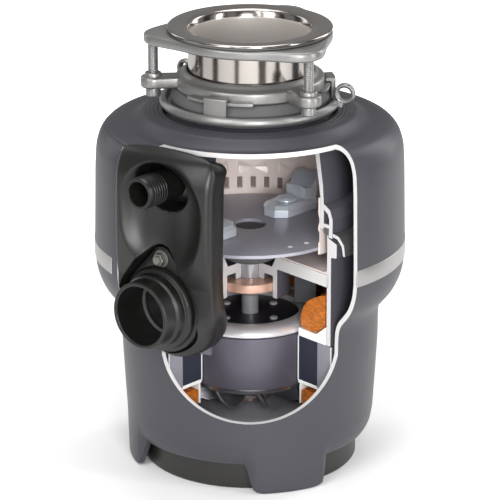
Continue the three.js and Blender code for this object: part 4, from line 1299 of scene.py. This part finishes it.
# ---------------------------------------------------------------- outlet
@dataclass
class Outlet:
    """Black hood over both hose ends, and the flanged outlet bolted through it."""

    half_width: float = COVER_WIDTH
    foot_z: float = COVER_FOOT_Z
    back: float = 91.0
    corner_r: float = 13.0
    roll_r: float = 6.0
    thickness: float = 2.6
    rows: int = 210
    columns: int = 131
    seat_d: float = 88.5
    well_r: float = 18.5
    well_d: float = 77.0

    def line(self) -> np.ndarray:
        """The hood's (radius, z) line, from its back edge on the shoulder down to its foot."""
        return path([(84.5, 249.7), (95, 249.7), (104.3, 244.4), (108.4, 237), (110.8, 229), (111.5, 216),
                     (112.5, 160), (112.5, 150.5), (111, 140), (106.8, 130), (101.4, 123.4), (97.2, 117.6),
                     (94.5, 111), (94.4, 98.4)], 4, 0.9)

    def flange_distance(self, u: np.ndarray, v: np.ndarray) -> np.ndarray:
        """Signed way from the flange's outline: a large circle, a small one above, and their tangents.

        Args:
            u: sideways from the outlet's axis.
            v: up from it.

        Returns:
            Millimetres outside the outline, or less than 0 inside it.
        """
        big, small, rise = 33.2, 9.7, 35.0
        b = (big - small) / rise
        a = math.sqrt(1 - b * b)
        u = np.abs(u)
        k = -b * u + a * v
        side = a * u + b * v - big
        return np.where(k < 0, np.hypot(u, v) - big,
                        np.where(k > a * rise, np.hypot(u, v - rise) - small, side))

    def carve(self, u: np.ndarray, z: np.ndarray, u_now: np.ndarray, z_now: np.ndarray, d: np.ndarray,
              inset: float) -> np.ndarray:
        """Holds the hood back to its flat front, its scoop, the inlet's well and the flange's seat.

        The front is a line of (z, distance). The scoop is an ellipsoid 25 deep, and both are joined to the
        hood by a rounded minimum. The well takes the distance down by 25, and the seat down to seat_d.

        Args:
            u: how far sideways each point is before the rolled edge moves it.
            z: its height before that.
            u_now: how far sideways it is.
            z_now: its height.
            d: its distance out.
            inset: how far inside the outer face the points are.

        Returns:
            The new distances out.
        """
        front = np.interp(z, [98, 155, 200, 214, 250], [101, 101, 113, 117, 125]) - inset
        d = soft_min(d, front, 4.0)
        tall = np.where(z > 208, 36.0, 56.0)
        inside = 1 - ((u - 1) / 35.0) ** 2 - ((z - 208) / tall) ** 2
        bowl = 116 - 25 * np.sqrt(np.clip(inside, 0, 1)) + 60 * np.clip(-inside, 0, 1) - inset
        d = soft_min(d, bowl, 6.0)
        shift = math.radians(COVER_AZ - PORT_AZ)
        u_port = u_now * math.cos(shift) + d * math.sin(shift)
        well = ease((self.well_r - np.hypot(u_port - 3, z_now - INLET_Z)) / 3)
        d = d + well * (np.maximum(d - 25, self.well_d - inset) - d)
        seat = 1 - ease((self.flange_distance(u_port, z_now - OUTLET_Z) + 1.6) / 2.2)
        return d - seat * np.clip(d - self.seat_d + inset, 0, None)

    def skin(self, inset: float) -> np.ndarray:
        """Points of the hood.

        A column starts where its radius reaches the flat back edge, and runs down the hood's line. Each
        point lies on the surface of revolution, is rolled inwards along its normal near the outline, and
        is then carved.

        Args:
            inset: how far inside the outer face the points are.

        Returns:
            Rows by columns by xyz.
        """
        line = self.line()
        normal = normals(line)
        run = np.concatenate([[0], np.cumsum(np.linalg.norm(np.diff(line, axis=0), axis=1))])
        even = np.linspace(-1, 1, self.columns)
        share = np.sin(even * math.pi / 2) * 0.45 + even * 0.55
        rising = int(np.argmax(line[:, 0]))
        start = np.interp(np.hypot(self.back, self.half_width * share), line[:rising, 0],
                          run[:rising])[None, :]
        s = start + (run[-1] - start) * (1 - (1 - np.linspace(0, 1, self.rows)[:, None]) ** 1.5)
        r, z, out_r, out_z = (np.interp(s, run, v) for v in (*line.T, *normal.T))
        past = s - start
        corner = np.clip(self.corner_r - past, 0, self.corner_r)
        top = self.half_width - self.corner_r + np.sqrt(self.corner_r**2 - corner**2)
        foot = np.sqrt(np.clip(self.half_width**2 - np.clip(self.foot_z - z, 0, self.half_width) ** 2, 0,
                               None))
        width = np.minimum(top, foot)
        u = width * share[None, :]
        below = self.half_width - np.hypot(u, np.minimum(z - self.foot_z, 0))
        edge = np.minimum(np.minimum(below, past), width - np.abs(u))
        short = np.clip(self.roll_r - edge, 0, self.roll_r)
        drop = self.roll_r - np.sqrt(self.roll_r**2 - short**2) + inset
        d = np.sqrt(np.clip(r**2 - u**2, 1, None))
        z_now = z - out_z * drop
        u_now = u * (1 - out_r * drop / r)
        d = d * (1 - out_r * drop / r)
        d = self.carve(u, z, u_now, z_now, d, inset)
        local = np.stack([u_now, z_now, d], -1)
        dive = np.array([0, 0, 1.0])
        left, right = local[:, :1] - 5 * dive, local[:, -1:] - 5 * dive
        deeper = [left - 5 * dive, left, local, right, right - 5 * dive]
        return np.concatenate(deeper, 1) @ facing(COVER_AZ).T

    def hood(self) -> None:
        """The hood as a wall of even thickness."""
        made = walled(self.skin(0), self.skin(self.thickness), None, False, 0, 0)
        publish("hood_skin", made, [COVER], "housing", ("outlet_cover",), 60)

    def outline(self, shrink: float) -> np.ndarray:
        """The flange's outline: a large arc below and a small one over the bolt."""
        big, small = 32 - shrink, 8.5 - shrink
        return np.vstack([arc(0, 0, big, 138, 402, 66), arc(0, 35, small, 42, 138, 12)])

    def flange(self) -> None:
        """The flange plate with its stepped spigot, the gasket behind it, and its bolt."""
        sheet = holed(self.outline(0), 20.5, 92.3, 95.6, 0.9).moved(facing(PORT_AZ), (0, 0, OUTLET_Z))
        spigot = spout([(20.5, 92.3), (29.6, 92.3), (29.2, 98.4), (28.2, 100.6), (25.6, 101.4), (25.4, 107),
                        (23.6, 108.4), (23.6, 118.2), (23.1, 119), (21.1, 119), (20.5, 118.2)], PORT_AZ,
                       OUTLET_Z,
                       3, 0.5)
        publish("flange_spigot", sheet.plus(spigot), [COVER], "housing",
                ("outlet_flange",), 40)
        gasket = holed(self.outline(2), 19, 90.3, 92, 0.3).moved(facing(PORT_AZ), (0, 0, OUTLET_Z))
        publish("outlet_seal", gasket, [RUBBER], "housing", ("outlet_gasket",))
        basis = facing(PORT_AZ)
        head = plate(arc(0, 35, 4.8, 0, 300, 5), 95.9, 99.9, 0.6).moved(basis, (0, 0, OUTLET_Z))
        pin = plate(arc(0, 35, 3, 0, 345, 23), 84, 101.4, 0.4).moved(basis, (0, 0, OUTLET_Z))
        washer = plate(arc(0, 35, 6.2, 0, 345, 23), 95.6, 96.3, 0.3).moved(basis, (0, 0, OUTLET_Z))
        # The bolt takes the darker steel: painted shade.
        publish("bolt_skin", head.plus(pin, washer), [BOLT_PAINTED_SHADE], "housing", ("outlet_bolt",))

    def build(self) -> None:
        """Makes the hood and the outlet."""
        self.hood()
        self.flange()


# ---------------------------------------------------------------- base
@dataclass
class Base:
    """Dark cup under the motor, with the fittings of its underside."""

    outer_r: float = back_radius("base_cup")

    def build(self) -> None:
        """Makes the cup and its fittings."""
        softened("base_cup", BASE, "housing", 0.4)
        skin = revolve([(74, 0.2), (74.3, 0.2), (self.outer_r, 1.6), (self.outer_r, 20.3), (74, 20.3)],
                       step=2, soften=0.5)
        publish("base_wall", skin, [BASE], "housing")
        softened("wiring_hatch", CAST, "housing", 0.3)
        softened("hatch_screw", ZINC, "housing", 0.1)
        softened("cable_bushing", RUBBER, "housing", 0.4)
        softened("reset_button", RED, "reset_button", 0.5)
        softened("overload_protector", DARK, "housing", 0.5)


# ---------------------------------------------------------------- studio
@dataclass
class Studio:
    """White floor, soft lamps, dark cards that the polished sleeve mirrors, and the camera."""

    target: tuple[float, float, float] = (0.0, 0.0, 0.150)
    distance: float = 2.232
    elevation: float = 19.07
    lens: float = 228.5
    card_reach: float = 0.62
    card_top: float = 0.9

    def floor(self) -> None:
        """A plain pale floor under the object."""
        mesh = bpy.data.meshes.new("floor")
        half = 6.0
        mesh.from_pydata([(-half, -half, 0), (half, -half, 0), (half, half, 0), (-half, half, 0)], [],
                         [(0, 1, 2, 3)])
        pale = bpy.data.materials.new("floor white")
        pale.use_nodes = True
        shader = pale.node_tree.nodes["Principled BSDF"]
        shader.inputs["Base Color"].default_value = (0.92, 0.92, 0.92, 1)
        shader.inputs["Roughness"].default_value = 0.9
        n = Nodes(pale.node_tree)
        reach = n.add("ShaderNodeVectorMath", operation="LENGTH")
        n.join(n.add("ShaderNodeTexCoord").outputs["Object"], reach.inputs[0])
        glow = n.add("ShaderNodeMapRange", interpolation_type="SMOOTHSTEP")
        glow.inputs["From Min"].default_value = 0.2
        glow.inputs["From Max"].default_value = 0.7
        n.join(reach.outputs["Value"], glow.inputs["Value"])
        shader.inputs["Emission Color"].default_value = (1, 1, 1, 1)
        seen = n.math("MULTIPLY", glow.outputs[0], n.add("ShaderNodeLightPath").outputs["Is Camera Ray"])
        n.join(seen, shader.inputs["Emission Strength"])
        mesh.materials.append(pale)
        piece = bpy.data.objects.new("floor", mesh)
        bpy.context.scene.collection.objects.link(piece)

    def card(self, az: float, half: float) -> None:
        """A dark upright card out of sight, which puts a dark band in the polished sleeve.

        Args:
            az: azimuth of its middle.
            half: half of the angle that it spans.
        """
        mesh = bpy.data.meshes.new("card")
        (x0, y0), (x1, y1) = at(self.card_reach, az - half), at(self.card_reach, az + half)
        top = self.card_top
        mesh.from_pydata([(x0, y0, 0.01), (x1, y1, 0.01), (x1, y1, top), (x0, y0, top)], [], [(0, 1, 2, 3)])
        black = bpy.data.materials.get("card black") or bpy.data.materials.new("card black")
        black.use_nodes = True
        black.node_tree.nodes["Principled BSDF"].inputs["Base Color"].default_value = (0.01, 0.01, 0.01, 1)
        mesh.materials.append(black)
        piece = bpy.data.objects.new(f"card {az:g}", mesh)
        piece.visible_camera = piece.visible_diffuse = piece.visible_shadow = False
        bpy.context.scene.collection.objects.link(piece)

    def lamp(self, name: str, az: float, height: float, reach: float, size: Span, watts: float) -> None:
        """A soft rectangular lamp that faces the object from an azimuth.

        Args:
            name: its name.
            az: azimuth it stands on.
            height: metres up.
            reach: metres from the axis.
            size: its width and height in metres.
            watts: its power.
        """
        data = bpy.data.lights.new(name, "AREA")
        data.shape = "RECTANGLE"
        data.size, data.size_y = size
        data.energy = watts
        lamp = bpy.data.objects.new(name, data)
        x, y = at(reach, az)
        lamp.location = (x, y, height)
        away = lamp.location - Vector((0, 0, 0.16))
        lamp.rotation_euler = away.to_track_quat("Z", "Y").to_euler()
        bpy.context.scene.collection.objects.link(lamp)

    def world(self) -> None:
        """White to the camera, and a dimmer white as light."""
        world = bpy.data.worlds.new("studio")
        bpy.context.scene.world = world
        world.use_nodes = True
        n = Nodes(world.node_tree)
        back = world.node_tree.nodes["Background"]
        ray = n.add("ShaderNodeLightPath")
        mirrored = n.add("ShaderNodeMix", data_type="FLOAT")
        mirrored.inputs[2].default_value = 0.45
        mirrored.inputs[3].default_value = 0.3
        n.join(ray.outputs["Is Glossy Ray"], mirrored.inputs[0])
        mix = n.add("ShaderNodeMix", data_type="FLOAT")
        mix.inputs[3].default_value = 1.0
        n.join(ray.outputs["Is Camera Ray"], mix.inputs[0])
        n.join(mirrored.outputs[0], mix.inputs[2])
        n.join(mix.outputs[0], back.inputs["Strength"])
        back.inputs["Color"].default_value = (1, 1, 1, 1)

    def camera(self) -> None:
        """The camera, in front and a little above."""
        data = bpy.data.cameras.new("camera")
        data.lens = self.lens
        data.sensor_width = 36.0
        eye = bpy.data.objects.new("camera", data)
        tilt = math.radians(self.elevation)
        x, y, z = self.target
        eye.location = (x, y - self.distance * math.cos(tilt), z + self.distance * math.sin(tilt))
        eye.rotation_euler = (math.radians(90) - tilt, 0, 0)
        bpy.context.scene.collection.objects.link(eye)
        bpy.context.scene.camera = eye

    def build(self) -> None:
        """Sets the whole studio."""
        self.floor()
        for az, half in ((-104, 8), (-66, 6), (-24, 4), (22, 7), (50, 4), (92, 9)):
            self.card(az, half)
        self.lamp("key", -32, 1.1, 1.5, (0.9, 1.2), 17)
        self.lamp("strip", 62, 0.5, 1.2, (0.16, 0.9), 5)
        self.lamp("front", 8, 0.75, 1.9, (0.7, 0.7), 15)
        self.lamp("window", 12, 0.42, 1.5, (0.4, 0.3), 7)
        self.lamp("top", 180, 1.6, 0.3, (0.9, 0.9), 9)
        self.lamp("left rim", -125, 0.6, 1.1, (0.3, 1.0), 1.5)
        self.lamp("right rim", 125, 0.6, 1.1, (0.3, 1.0), 4)
        self.world()
        self.camera()
        bpy.context.scene.view_settings.view_transform = "Standard"


def main() -> None:
    """Builds the disposer and its studio."""
    for part in (SinkMount(), GrindSection(), TurningParts(), Motor(), SoundShell(), Outlet(), Base(),
                 Studio()):
        LOG.info("building %s", type(part).__name__)
        part.build()


if __name__ == "__main__":
    logging.basicConfig(level=logging.INFO)
    main()
